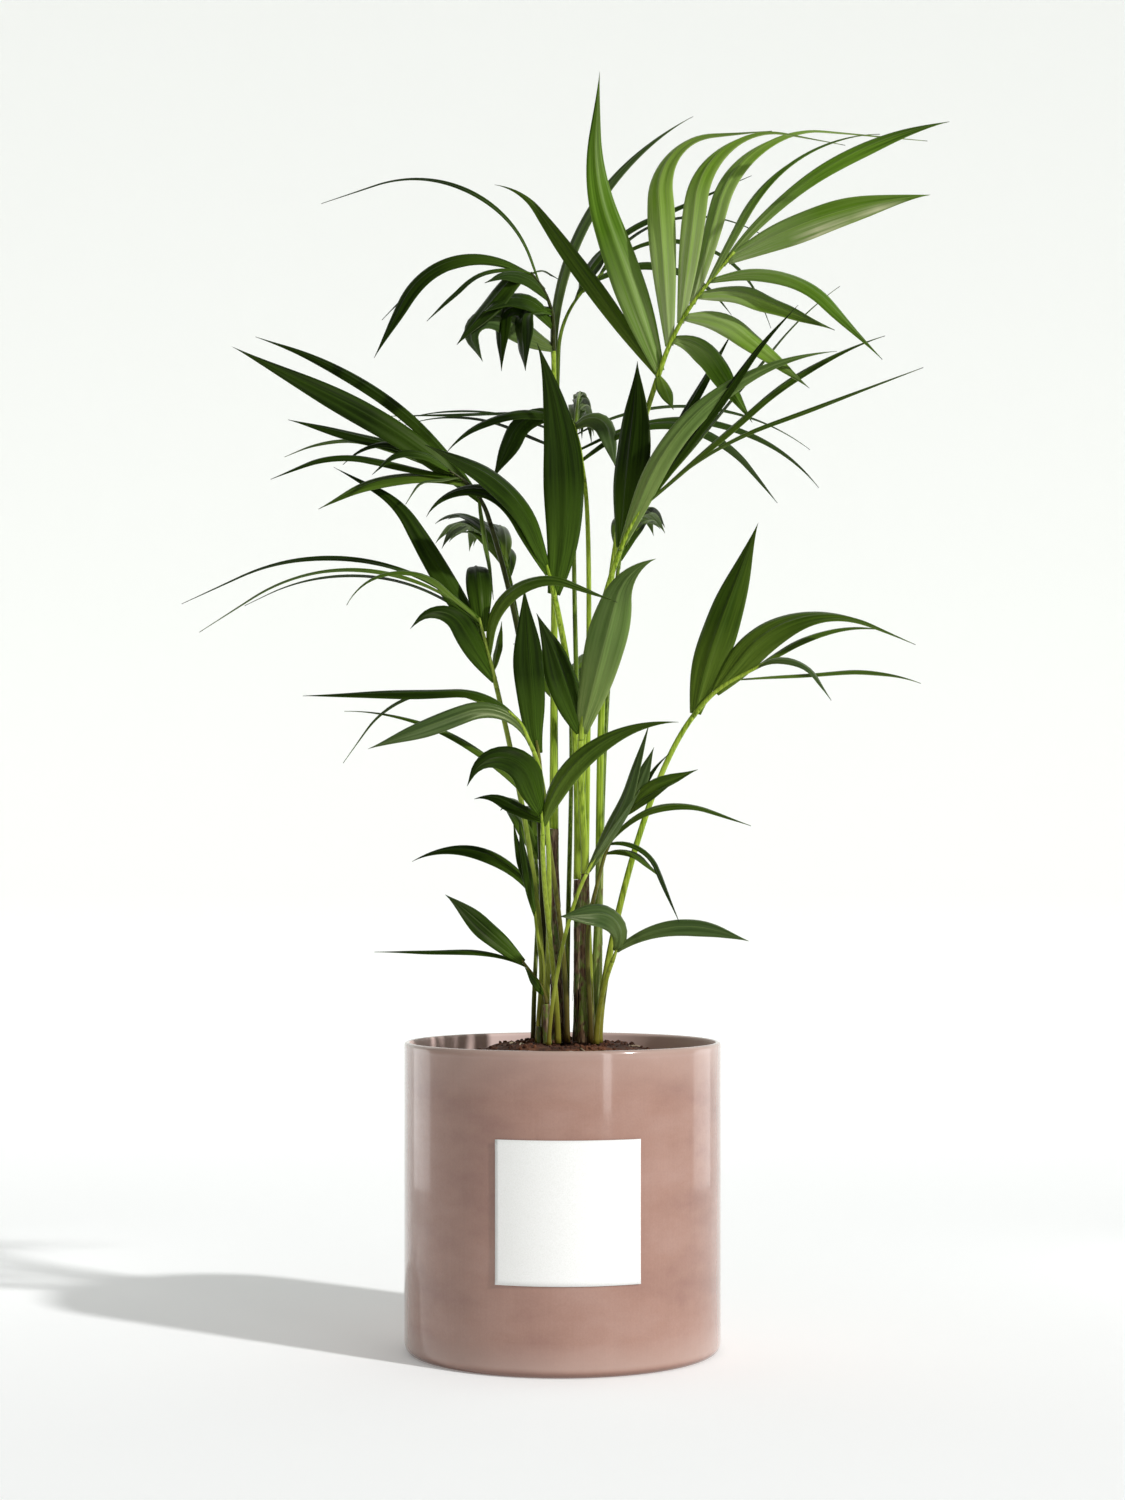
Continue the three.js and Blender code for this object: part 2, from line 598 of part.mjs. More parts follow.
/** Opposite pairs of leaflets, longest in the middle of the rib, with one at its tip. */
function pairedLeaflets({ rib, pairs }) {
  const rows = [];
  for (let i = 0; i < pairs.count; i += 1) {
    const place = 0.12 + (0.8 * i) / (pairs.count - 1);
    const size = 0.75 + 0.25 * Math.sin(Math.PI * place);
    const rise = rib.rise + rib.bend * place + pairs.rise;
    for (const side of [-1, 1]) {
      const reach = pairs.reach * size;
      const depth = side * pairs.spread * size * (1 - 0.35 * place);
      rows.push([place + 0.03 * side, reach, pairs.width, 0.4, rise, pairs.bend, 0, 1, depth, 90]);
    }
  }
  const last = rib.rise + rib.bend;
  rows.push([0.99, pairs.reach * 0.8, pairs.width * 0.8, 0.4, last, pairs.bend / 2, 0, 1, 0, 90]);
  return rows;
}

/** The blade: a rib with its leaflets joined to it. */
function bladeGeometry(frond, plane) {
  const rib = ribCurve(frond, plane);
  const root = frond.radii[1];
  const radiusAt = (t) => THREE.MathUtils.lerp(root, root * 0.55, t);
  const side = plane.back.clone().negate();
  let blade = solidOf(limb(rib, radiusAt, RIB_SIDES, 4, side));
  const rows = frond.leaflets ?? pairedLeaflets(frond);
  for (const row of rows) {
    blade = blade.add(solidOf(leafletGeometry(row, rib, frond)));
  }
  return geometryOf(mainBody(blade));
}

// ---------------------------------------------------------------- assembly

addPiece('pot', closed(upright(potGeometry())), glaze);
addPiece('label', closed(labelGeometry()), paper);
addPiece('soil', closed(upright(soilGeometry())), peat);
for (const [name, stem] of Object.entries(STEMS)) {
  addPiece(name, closed(stemGeometry(stem)), bark);
}
for (const [name, frond] of Object.entries(FRONDS)) {
  const plane = planeOf(frond.heading ?? 0);
  if (frond.foot) {
    addPiece(`petiole_${name}`, closed(petioleGeometry(frond, plane)), stalk);
  }
  addPiece(`frond_${name}`, bladeGeometry(frond, plane), leaf);
}

export default plant;
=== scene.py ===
"""Dresses a kentia palm that grows as a clump of stems in a glazed cylindrical pot.

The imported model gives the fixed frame. Each sub-assembly is a class that holds its sizes in
millimetres and builds its own finer meshes: the pot and its blank label, the crumbly soil with
its roots, the stems wrapped in leaf-base fibre, the petioles, and the fronds, whose ribs and
leaflets follow one rule. The directions are those of the frame: X to the right, Y back, Z up.
"""

from __future__ import annotations

import logging
import math
import random
import sys
from dataclasses import dataclass, field, replace
from enum import Enum
from functools import cache
from typing import Callable, Protocol, Sequence

import bmesh
import bpy
from mathutils import Matrix, Vector, noise

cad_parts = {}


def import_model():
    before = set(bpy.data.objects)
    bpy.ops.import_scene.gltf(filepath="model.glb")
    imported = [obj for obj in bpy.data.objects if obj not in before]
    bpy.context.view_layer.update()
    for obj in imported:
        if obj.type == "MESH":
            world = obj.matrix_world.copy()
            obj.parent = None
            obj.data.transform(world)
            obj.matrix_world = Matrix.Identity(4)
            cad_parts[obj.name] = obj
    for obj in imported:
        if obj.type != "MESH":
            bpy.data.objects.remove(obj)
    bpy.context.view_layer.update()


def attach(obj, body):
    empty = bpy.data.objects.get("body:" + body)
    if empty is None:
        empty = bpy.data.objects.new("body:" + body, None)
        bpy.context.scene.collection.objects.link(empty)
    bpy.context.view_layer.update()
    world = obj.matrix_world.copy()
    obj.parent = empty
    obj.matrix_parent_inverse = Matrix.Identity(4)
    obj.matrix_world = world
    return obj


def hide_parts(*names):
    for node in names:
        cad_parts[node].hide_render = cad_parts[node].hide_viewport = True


log = logging.getLogger("kentia")

MM = 0.001
CLEARANCE = 0.3  # between pieces that rest on each other
GROUND = 271.3  # where stems and petioles stand, just over the soil
UP = Vector((0.0, 0.0, 1.0))
FRONT = Vector((0.0, -1.0, 0.0))

Mesh = bmesh.types.BMesh
Socket = bpy.types.NodeSocket
Material = bpy.types.Material
Place = Callable[[float, float], Vector]
Girth = Callable[[float, float], float]
Triple = tuple[float, float, float]
Stops = Sequence[tuple[float, float | str]]


# ------------------------------------------------------------------ colours and nodes


def linear(colour: str) -> tuple[float, float, float, float]:
    """Turns an sRGB hex colour into linear light.

    Args:
        colour: A hash and six hex digits.

    Returns:
        The red, green, blue and opacity that a socket takes.
    """
    parts = [int(colour[i : i + 2], 16) / 255.0 for i in (1, 3, 5)]
    light = [c / 12.92 if c <= 0.04045 else ((c + 0.055) / 1.055) ** 2.4 for c in parts]
    return (light[0], light[1], light[2], 1.0)


def even(size: float, stretch: float = 1.0) -> Triple:
    """Gives the scale of a pattern with patches of a size in millimetres, drawn out upright below 1."""
    return (1 / (size * MM), 1 / (size * MM), stretch / (size * MM))


class Nodes:
    """A finish in the making: its material, its nodes and its one principled shader."""

    def __init__(self, name: str, viewport: str) -> None:
        """Makes the material.

        Args:
            name: The name of the finish.
            viewport: The hex colour that stands for it in the solid view.
        """
        self.material = bpy.data.materials.new(name)
        self.material.use_nodes = True
        self.material.diffuse_color = linear(viewport)
        self.tree = self.material.node_tree

    def fill(self, socket: Socket, value: object) -> None:
        """Links a socket, or sets its value, where a hex colour is turned to linear light.

        Args:
            socket: The input.
            value: An output, a hex colour, a number or a vector.
        """
        if isinstance(value, Socket):
            self.tree.links.new(value, socket)
        else:
            socket.default_value = linear(value) if isinstance(value, str) else value

    def add(
        self, kind: str, *values: object, out: str = "", stops: Stops = (), **settings: object
    ) -> Socket:
        """Adds one node with its settings, values and links.

        Args:
            kind: The node's type name, without its first word.
            *values: What goes into its live inputs, in order.
            out: The output that is wanted, if it isn't the first.
            stops: A ramp's places from 0 to 1, each with a hex colour or a grey from 0 to 1.
            **settings: Its own properties, and inputs by their names, which have a capital.

        Returns:
            The named output, or the first live one.
        """
        node = self.tree.nodes.new(f"ShaderNode{kind}")
        for name, value in settings.items():
            if name.islower():
                setattr(node, name, value)
            else:
                self.fill(node.inputs[name], value)
        for socket, value in zip([s for s in node.inputs if s.enabled], values):
            self.fill(socket, value)
        if stops:
            elements = node.color_ramp.elements
            while len(elements) < len(stops):
                elements.new(0.5)
            for element, (place, value) in zip(elements, stops):
                element.position = place
                element.color = linear(value) if isinstance(value, str) else (value, value, value, 1.0)
        return node.outputs[out] if out else next(s for s in node.outputs if s.enabled)

    def mottle(
        self, scale: Triple, detail: float = 2.0, rough: float = 0.5, on: Socket | None = None
    ) -> Socket:
        """Adds a cloudy pattern.

        Args:
            scale: Its scale along each axis.
            detail: How many finer layers it has.
            rough: How strong the finer layers are.
            on: The coordinates that it follows, if not the piece's own in metres.

        Returns:
            The pattern, from 0 to 1.
        """
        scaled = self.add("Mapping", on or self.add("TexCoord", out="Object"), Scale=scale)
        return self.add("TexNoise", scaled, Scale=1.0, Detail=detail, Roughness=rough)

    def rise(self, start: float, run: float) -> Socket:
        """Measures a height, as a share of a run.

        Args:
            start: The height where the share is 0, in millimetres.
            run: How much higher the share is 1, in millimetres.

        Returns:
            The share, which runs on past both ends.
        """
        height = self.add("SeparateXYZ", self.add("TexCoord", out="Object"), out="Z")
        above = self.add("Math", height, start * MM, operation="SUBTRACT")
        return self.add("Math", above, run * MM, operation="DIVIDE")

    def dress(self, colour: Socket, relief: tuple[float, float, Socket] | None, **inputs: object) -> Material:
        """Fills the shader's inputs.

        Args:
            colour: The surface's colour.
            relief: How strong its relief is, how deep in millimetres, and the pattern that it follows.
            **inputs: The shader's other inputs by their names, with _ for a space.

        Returns:
            The finished material.
        """
        shader = self.tree.nodes["Principled BSDF"]
        self.fill(shader.inputs["Base Color"], colour)
        if relief:
            strength, depth, height = relief
            bump = self.add("Bump", Strength=strength, Distance=depth * MM, Height=height)
            self.fill(shader.inputs["Normal"], bump)
        for name, value in inputs.items():
            self.fill(shader.inputs[name.replace("_", " ")], value)
        return self.material


# ------------------------------------------------------------------ finishes


class Finish(Protocol):
    """A real surface that can be made as a material."""

    def build(self) -> Material:
        """Builds the material."""


@cache
def made(finish: Finish) -> Material:
    """Builds a finish once, however many pieces wear it."""
    return finish.build()


@dataclass(frozen=True)
class GlazedCeramic:
    """Stoneware under a glossy dusty-pink glaze, dipped and fired.

    The clear glaze gives sharp highlights over soft clouds of colour. It ran down as it melted, which
    left fine upright streaks. Its colour is painted paler on the lip, a painted highlight, and in a band
    just above the foot, painted light, and it is darker at the foot. Inside the pot it is matt, and its
    colour is painted paler there, painted light that lifts the shade on the inner wall.
    """

    body: str = "#a27b6c"
    pale: str = "#ae8b7e"
    deep: str = "#8e675b"
    # painted highlight on the lip; the same colour paints light in a band just above the foot
    lip: str = "#b99f94"
    foot: str = "#76564a"
    # painted light: the inner wall is paler to lift its shade
    inner: str = "#dcc0b8"
    inner_radius: float = 135.5
    height: float = 272.0
    cloud: float = 95.0
    banking: float = 1.9
    run: float = 3.1
    drawn: float = 0.045
    speck: float = 1.6

    def build(self) -> Material:
        """Builds the glaze.

        Returns:
            The material.
        """
        nodes = Nodes("glazed_ceramic", self.body)
        clouds = nodes.mottle(even(self.cloud, self.banking), 4.0, 0.55)
        runs = nodes.mottle(even(self.run, self.drawn), 5.0, 0.7)
        specks = nodes.mottle(even(self.speck), 2.0, 0.55)
        base = nodes.add("ValToRGB", clouds, stops=[(0.25, self.deep), (0.5, self.body), (0.78, self.pale)])
        streaks = nodes.add("ValToRGB", runs, stops=[(0.3, 0.42), (0.7, 0.58)])
        spots = nodes.add("ValToRGB", specks, stops=[(0.3, 0.44), (0.7, 0.56)])
        overlay = {"data_type": "RGBA", "blend_type": "OVERLAY"}
        colour = nodes.add("Mix", 0.3, nodes.add("Mix", 0.16, base, streaks, **overlay), spots, **overlay)
        share = nodes.rise(0.0, self.height)
        # The first stops paint light in a band just above the foot, the second a highlight on the lip, and
        # the third darken the foot.
        for stops, edge in (
            ([(0.012, 0.0), (0.03, 0.55), (0.11, 0.0)], self.lip),
            ([(0.0, 0.0), (0.84, 0.0), (0.97, 0.35), (0.992, 0.8), (1.0, 1.0)], self.lip),
            ([(0.0, 1.0), (0.01, 0.8), (0.022, 0.0)], self.foot),
        ):
            where = nodes.add("ValToRGB", share, stops=stops)
            colour = nodes.add("Mix", where, colour, edge, data_type="RGBA")
        # Inside the pot the colour is painted paler, painted light that lifts the shade on the inner wall.
        place = nodes.add("TexCoord", out="Object")
        level = nodes.add("VectorMath", place, (1.0, 1.0, 0.0), operation="MULTIPLY")
        reach = nodes.add("VectorMath", level, operation="LENGTH")
        inside = nodes.add("Math", reach, self.inner_radius * MM, operation="LESS_THAN")
        return nodes.dress(
            nodes.add("Mix", inside, colour, self.inner, data_type="RGBA"),
            (0.06, 0.3, runs),
            Roughness=nodes.add("ValToRGB", inside, stops=[(0.0, 0.14), (1.0, 0.55)]),
            IOR=1.5,
            Coat_Weight=nodes.add("ValToRGB", inside, stops=[(0.0, 0.5), (1.0, 0.0)]),
            Coat_Roughness=0.04,
        )


@dataclass(frozen=True)
class CoatedPaper:
    """White label paper with a smooth clay coating, die cut and pressed on by hand.

    It gives a clean bright white with a soft sheen and the faintest fibre under it.
    """

    white: str = "#fbfbf9"
    shade: str = "#f1f1ee"
    fibre: float = 0.9

    def build(self) -> Material:
        """Builds the paper.

        Returns:
            The material.
        """
        nodes = Nodes("coated_paper", self.white)
        fibre = nodes.mottle(even(self.fibre), 4.0)
        colour = nodes.add("ValToRGB", fibre, stops=[(0.3, self.shade), (0.62, self.white)])
        return nodes.dress(colour, (0.12, 0.05, fibre), Roughness=0.38)


@dataclass(frozen=True)
class PottingSoil:
    """Moist potting soil of peat, bark fines and coir, tipped in and pressed down.

    It is matt and crumbly, from nearly black in the hollows of its relief to rusty brown on the dry crumbs;
    the dark hollows are partly the peat's own colour and partly painted shade.
    """

    dark_peat_and_shade: str = "#1d120d"
    brown: str = "#4a2a1b"
    rust: str = "#78472a"
    dry: str = "#967459"
    crumb: float = 4.5
    clump: float = 38.0

    def build(self) -> Material:
        """Builds the soil.

        Returns:
            The material.
        """
        nodes = Nodes("potting_soil", self.brown)
        crumbs = nodes.mottle(even(self.crumb), 6.0, 0.7)
        clumps = nodes.mottle(even(self.clump))
        # The crumb pattern also raises the relief, so its darkest stop is partly painted shade in the
        # hollows.
        peat_and_shade = nodes.add("ValToRGB", crumbs, stops=[(0.3, self.dark_peat_and_shade), (0.52, self.brown), (0.75, self.rust)])
        dried = nodes.add("ValToRGB", crumbs, stops=[(0.32, self.brown), (0.55, self.rust), (0.8, self.dry)])
        patch = nodes.add("ValToRGB", clumps, stops=[(0.46, 0.0), (0.6, 0.8)])
        colour = nodes.add("Mix", patch, peat_and_shade, dried, data_type="RGBA")
        return nodes.dress(colour, (0.8, 1.2, crumbs), Roughness=0.95)


@dataclass(frozen=True)
class RootSkin:
    """Living roots at the soil's surface: smooth, waxy and off-white, stained brown where they dried."""

    pale: str = "#b8a98c"
    stained: str = "#5f4630"
    stain: float = 11.0

    def build(self) -> Material:
        """Builds the root skin.

        Returns:
            The material.
        """
        nodes = Nodes("root_skin", self.pale)
        stain = nodes.mottle(even(self.stain), 3.0)
        colour = nodes.add("ValToRGB", stain, stops=[(0.4, self.pale), (0.68, self.stained)])
        return nodes.dress(colour, None, Roughness=0.6)


@dataclass(frozen=True)
class StemFibre:
    """The sheath of an old leaf base, split into coarse fibres as the stem grew through it.

    It is matt, streaked lengthways from straw to dark brown, over a green stem that shows between.
    """

    name: str
    dark: str
    brown: str
    straw: str
    green: str
    cover: float
    fibre: float = 1.1
    drawn: float = 0.05
    patch_width: float = 16.667
    patch_height: float = 26.0

    def build(self) -> Material:
        """Builds the fibre.

        Returns:
            The material.
        """
        nodes = Nodes(self.name, self.brown)
        fibres = nodes.mottle(even(self.fibre, self.drawn), 3.0, 0.65)
        where = nodes.mottle(even(self.patch_width, self.patch_width / self.patch_height), 3.0, 0.6)
        bark = nodes.add("ValToRGB", fibres, stops=[(0.3, self.dark), (0.5, self.brown), (0.74, self.straw)])
        skin = nodes.add("ValToRGB", fibres, stops=[(0.3, self.straw), (0.5, self.green)])
        bare = nodes.add("ValToRGB", where, stops=[(self.cover - 0.03, 0.0), (self.cover + 0.03, 1.0)])
        colour = nodes.add("Mix", bare, bark, skin, data_type="RGBA")
        return nodes.dress(colour, (0.7, 0.5, fibres), Roughness=0.72)


@dataclass(frozen=True)
class PetioleSkin:
    """A living leaf stalk: smooth, waxy skin with fine lengthways lines, browner towards its foot.

    The wax tints its soft highlight a pale yellow.
    """

    name: str
    body: str
    light: str
    deep: str
    base: str
    line: float = 1.3
    drawn: float = 0.03
    band: float = 90.0
    greening: float = 190.0
    wax: str = "#f2f6c4"

    def build(self) -> Material:
        """Builds the skin.

        Returns:
            The material.
        """
        nodes = Nodes(self.name, self.body)
        lines = nodes.mottle(even(self.line, self.drawn))
        bands = nodes.mottle(even(self.band), 3.0)
        base = nodes.add("ValToRGB", lines, stops=[(0.32, self.deep), (0.5, self.body), (0.7, self.light)])
        banded = nodes.add("ValToRGB", bands, stops=[(0.42, 0.0), (0.66, 0.7)])
        height = nodes.rise(GROUND - CLEARANCE, self.greening)
        low = nodes.add("ValToRGB", height, stops=[(0.0, 0.9), (0.3, 0.45), (1.0, 0.0)])
        toned = nodes.add("Mix", banded, base, self.light, data_type="RGBA")
        colour = nodes.add("Mix", low, toned, self.base, data_type="RGBA")
        return nodes.dress(colour, (0.25, 0.2, lines), Roughness=0.34, IOR=1.33, Specular_Tint=self.wax)


@dataclass(frozen=True)
class LeafBlade:
    """A palm leaflet's blade: leathery, with a waxy skin over parallel veins and a paler midrib.

    The wax gives a broad soft sheen. The veins run lengthways about 1.5 mm apart, in pleats about
    4 mm wide. Its colour is painted paler towards the root and darker towards the tip, painted light
    and shade along the blade, and a thin pale line along its edges is a painted highlight.
    """

    name: str
    root: str
    body: str
    light: str
    tip: str
    midrib: str
    roughness: float = 0.38
    gloss: float = 1.28
    scar: str = ""
    vein: float = 1.5
    vein_length: float = 83.333
    pleat: float = 3.704
    pleat_length: float = 125.0
    midrib_width: float = 0.9
    wax: str = "#f2f6c4"

    def build(self) -> Material:
        """Builds the blade.

        Returns:
            The material.
        """
        nodes = Nodes(self.name, self.body)
        share = nodes.add("UVMap", uv_map="share")
        size = nodes.add("UVMap", uv_map="millimetres")
        along = nodes.add("SeparateXYZ", share, out="X")
        width = nodes.add("SeparateXYZ", share, out="Y")
        veins = nodes.mottle((1 / self.vein_length, 1 / self.vein, 1.0), on=size)
        pleats = nodes.mottle((1 / self.pleat_length, 1 / self.pleat, 1.0), 3.0, 0.6, size)
        # Painted light and shade along the blade: paler at the root, darker towards the tip.
        painted_light_and_shade_along = [(0.0, self.root), (0.48, self.body), (0.64, self.body), (0.9, self.tip)]
        length = nodes.add("ValToRGB", along, stops=painted_light_and_shade_along)
        streaks = nodes.add("ValToRGB", pleats, stops=[(0.38, 0.0), (0.7, 0.7)])
        rooted = nodes.add(
            "Math",
            nodes.add("ValToRGB", along, stops=[(0.0, 0.75), (0.22, 0.5), (0.45, 0.0)]),
            nodes.add("ValToRGB", veins, stops=[(0.47, 0.0), (0.56, 1.0)]),
            operation="MULTIPLY",
        )
        streaked = nodes.add("Mix", streaks, length, self.light, data_type="RGBA")
        colour = nodes.add("Mix", rooted, streaked, self.body, data_type="RGBA")
        if self.scar:
            patch = self.scarred(nodes, along, width, pleats)
            colour = nodes.add("Mix", patch, colour, self.scar, data_type="RGBA")
        fine = nodes.add("ValToRGB", veins, stops=[(0.3, 0.36), (0.7, 0.64)])
        offset = nodes.add("Math", nodes.add("SeparateXYZ", size, out="Y"), operation="ABSOLUTE")
        near = nodes.add("Math", offset, self.midrib_width, operation="DIVIDE")
        rib = nodes.add("ValToRGB", near, stops=[(0.0, 0.4), (0.4, 0.22), (1.0, 0.0)])
        veined = nodes.add("Mix", 0.5, colour, fine, data_type="RGBA", blend_type="OVERLAY")
        ribbed = nodes.add("Mix", rib, veined, self.midrib, data_type="RGBA")
        # A thin pale line along the edges, a painted highlight.
        edge_highlight_stops = [(0.0, 0.55), (0.035, 0.0), (0.965, 0.0), (1.0, 0.55)]
        edge_highlight = nodes.add("ValToRGB", width, stops=edge_highlight_stops)
        return nodes.dress(
            nodes.add("Mix", edge_highlight, ribbed, self.midrib, data_type="RGBA"),
            (0.5, 0.35, nodes.add("Math", veins, pleats, operation="ADD")),
            Roughness=nodes.add("MapRange", pleats, 0.0, 1.0, self.roughness - 0.07, self.roughness + 0.09),
            IOR=self.gloss,
            Specular_Tint=self.wax,
        )

    def scarred(self, nodes: Nodes, along: Socket, width: Socket, pleats: Socket) -> Socket:
        """Marks a ragged patch along one edge, where the blade was bruised and bleached.

        Args:
            nodes: The blade's nodes.
            along: The place along the blade, from 0 to 1.
            width: The place across it, from 0 to 1.
            pleats: The streaks that make the patch ragged.

        Returns:
            How strong the patch is.
        """
        run = [(0.3, 0.0), (0.45, 0.9), (0.62, 0.35), (0.75, 0.8), (0.9, 0.0)]
        length = nodes.add("ValToRGB", along, stops=run)
        edge = nodes.add("ValToRGB", width, stops=[(0.12, 1.0), (0.46, 0.0)])
        ragged = nodes.add("ValToRGB", pleats, stops=[(0.36, 0.15), (0.5, 1.0)])
        patch = nodes.add("Math", length, edge, operation="MULTIPLY")
        return nodes.add("Math", patch, ragged, operation="MULTIPLY")


@dataclass(frozen=True)
class StudioPaper:
    """Pale seamless background paper: matt, and a little greyer up the wall than on the floor."""

    white: str = "#feffff"
    wall: str = "#eceeea"
    turn: float = 400.0
    glow: float = 0.145

    def build(self) -> Material:
        """Builds the paper, which glows a little by its own emission.

        Returns:
            The material.
        """
        nodes = Nodes("studio_paper", self.white)
        stops = [(0.0, self.white), (1.0, self.wall)]
        colour = nodes.add("ValToRGB", nodes.rise(0.0, self.turn), stops=stops)
        look = {"Roughness": 0.9, "Specular_IOR_Level": 0.0}
        return nodes.dress(colour, None, **look, Emission_Color=self.white, Emission_Strength=self.glow)


class Tone(Enum):
    """A leaflet's colouring, the upper face and the underside, with light partly painted in: DEEP and SHADE
    are darker copies for leaflets in shade, painted shade; GREY is partly a painted bluish sheen; PALE,
    BRIGHT and SCARRED are lighter copies for lit and backlit leaflets, painted light.
    """

    # Painted shade: a darker copy of the leaf green for leaflets that sit in shade.
    DEEP = (
        LeafBlade("leaf_deep", "#506e1e", "#142304", "#31480f", "#0d1703", "#38500f", gloss=1.18),
        LeafBlade("leaf_deep_under", "#4a621e", "#1b2a06", "#2e4211", "#152205", "#445a1e", 0.5),
    )
    LEAF = (
        LeafBlade("leaf_green", "#6e852e", "#324a0d", "#587222", "#1f3106", "#627a32"),
        LeafBlade("leaf_green_under", "#6c8134", "#3b5212", "#556c28", "#2c400e", "#70863f", 0.5),
    )
    # Partly painted sheen: a bluish grey-green for leaflets whose tops catch the sky, over their own duller
    # green.
    GREY = (
        LeafBlade("leaf_grey", "#66783a", "#33471f", "#526838", "#2a3c17", "#70834a", 0.34, gloss=1.4),
        LeafBlade("leaf_grey_under", "#707f48", "#40532a", "#5d7044", "#364922", "#7f9062", 0.5),
    )
    # Painted light: a paler copy of the leaf green for leaflets in the light.
    PALE = (
        LeafBlade("leaf_pale", "#94a65c", "#557030", "#78914f", "#3c561c", "#98aa68", 0.36, gloss=1.36),
        LeafBlade("leaf_pale_under", "#8d9e5c", "#59702e", "#778c4c", "#445a22", "#98aa6e", 0.5),
    )
    LIVELY = (
        LeafBlade("leaf_lively", "#99aa6c", "#4b6f14", "#6a8c2e", "#1c3208", "#8aa650", 0.4),
        LeafBlade("leaf_lively_under", "#93a46a", "#507220", "#6c8e36", "#2f4c16", "#90aa5a", 0.5),
    )
    # Painted light: a bright yellow-green copy for backlit leaflets, with the light through the blade painted
    # in.
    BRIGHT = (
        LeafBlade("leaf_bright", "#b0bc8c", "#72952e", "#90ab54", "#243c0c", "#b0c07e", 0.42),
        LeafBlade("leaf_bright_under", "#9dab76", "#658a28", "#80a044", "#42601a", "#aabd78", 0.5),
    )
    # Painted light as in BRIGHT, with a real bleached scar.
    SCARRED = (
        LeafBlade(
            "leaf_scarred", "#a4b27e", "#5c801e", "#7b9a40", "#48691a", "#a9ba74", 0.42, scar="#dcdcb0"
        ),
        replace(BRIGHT[1], name="leaf_scarred_under", scar="#dcdcb0"),
    )
    SHADE = (
        LeafBlade("leaf_shade", "#41561a", "#20340a", "#354c16", "#16240a", "#465c26", 0.42, gloss=1.2),
        LeafBlade("leaf_shade_under", "#485c22", "#2a400e", "#3e541c", "#203010", "#4f642c", 0.5, gloss=1.2),
    )


DEEP, LEAF, GREY, PALE, LIVELY, BRIGHT, SCARRED, SHADE = Tone


class Stalk(Enum):
    """A petiole's colouring."""

    FRESH = PetioleSkin("petiole_fresh", "#87a329", "#aec44c", "#4a6414", "#756626")
    OLIVE = PetioleSkin("petiole_olive", "#6c7f26", "#98aa48", "#43541a", "#6a5a24")
    DARK = PetioleSkin("petiole_dark", "#24270f", "#3c4419", "#171509", "#2b2411")
    BRONZE = PetioleSkin("petiole_bronze", "#56561f", "#7d8238", "#3d3216", "#4b3718")
    AGED = PetioleSkin("petiole_aged", "#516a18", "#748c34", "#33450e", "#4a3c18")


class Bark(Enum):
    """A stem's covering: how far the brown fibre hides the green."""

    FIBROUS = StemFibre("stem_fibre_brown", "#1c100a", "#523420", "#b59f7c", "#4f6420", 0.56)
    SPLIT = StemFibre("stem_fibre_split", "#2a1a0e", "#66462a", "#b3a27c", "#6a8026", 0.5)
    SMOOTH = StemFibre("stem_green", "#42380f", "#6a6426", "#a3a064", "#6f8828", 0.4)


# ------------------------------------------------------------------ curves and swept sheets


@dataclass(frozen=True)
class Plane:
    """The upright plane in which a frond is laid out, turned by a heading in degrees."""

    heading: float = 0.0

    @property
    def right(self) -> Vector:
        """The level direction along the plane."""
        turn = math.radians(self.heading)
        return Vector((math.cos(turn), math.sin(turn), 0.0))

    @property
    def back(self) -> Vector:
        """The level direction square to the plane."""
        turn = math.radians(self.heading)
        return Vector((-math.sin(turn), math.cos(turn), 0.0))


@dataclass(frozen=True)
class Sweep:
    """How a rib or a leaflet runs: its length, first slope, turn, where it turns, and its drift back."""

    length: float
    rise: float
    bend: float
    start: float = 0.0
    stop: float = 1.0
    depth: float = 0.0


@dataclass
class Arc:
    """A curve that turns evenly in its plane over a part of its length, while it drifts out of it."""

    root: Vector
    plane: Plane
    sweep: Sweep
    steps: int = 40
    places: list[tuple[float, float]] = field(default_factory=list)

    def __post_init__(self) -> None:
        """Adds up the steps along the curve."""
        self.places = [(0.0, 0.0)]
        step = self.sweep.length / self.steps
        for i in range(self.steps):
            x, z = self.places[i]
            angle = self.angle_at((i + 0.5) / self.steps)
            self.places.append((x + step * math.cos(angle), z + step * math.sin(angle)))

    def angle_at(self, t: float) -> float:
        """Gives the slope at a place on the curve.

        Args:
            t: The share of the length.

        Returns:
            Its angle in radians.
        """
        sweep = self.sweep
        share = min(max((t - sweep.start) / (sweep.stop - sweep.start), 0.0), 1.0)
        return math.radians(sweep.rise + sweep.bend * share)

    def point(self, t: float) -> Vector:
        """Finds a point of the curve.

        Args:
            t: The share of the length.

        Returns:
            The point, in millimetres.
        """
        before = min(int(t * self.steps), self.steps - 1)
        share = t * self.steps - before
        x0, z0 = self.places[before]
        x1, z1 = self.places[before + 1]
        level = self.plane.right * (x0 + (x1 - x0) * share)
        return self.root + level + self.plane.back * (self.sweep.depth * t) + UP * (z0 + (z1 - z0) * share)

    def tangent(self, t: float) -> Vector:
        """Finds the direction of the curve.

        Args:
            t: The share of the length.

        Returns:
            The direction, of length 1.
        """
        angle, length = self.angle_at(t), self.sweep.length
        level = self.plane.right * (length * math.cos(angle))
        return (level + self.plane.back * self.sweep.depth + UP * (length * math.sin(angle))).normalized()


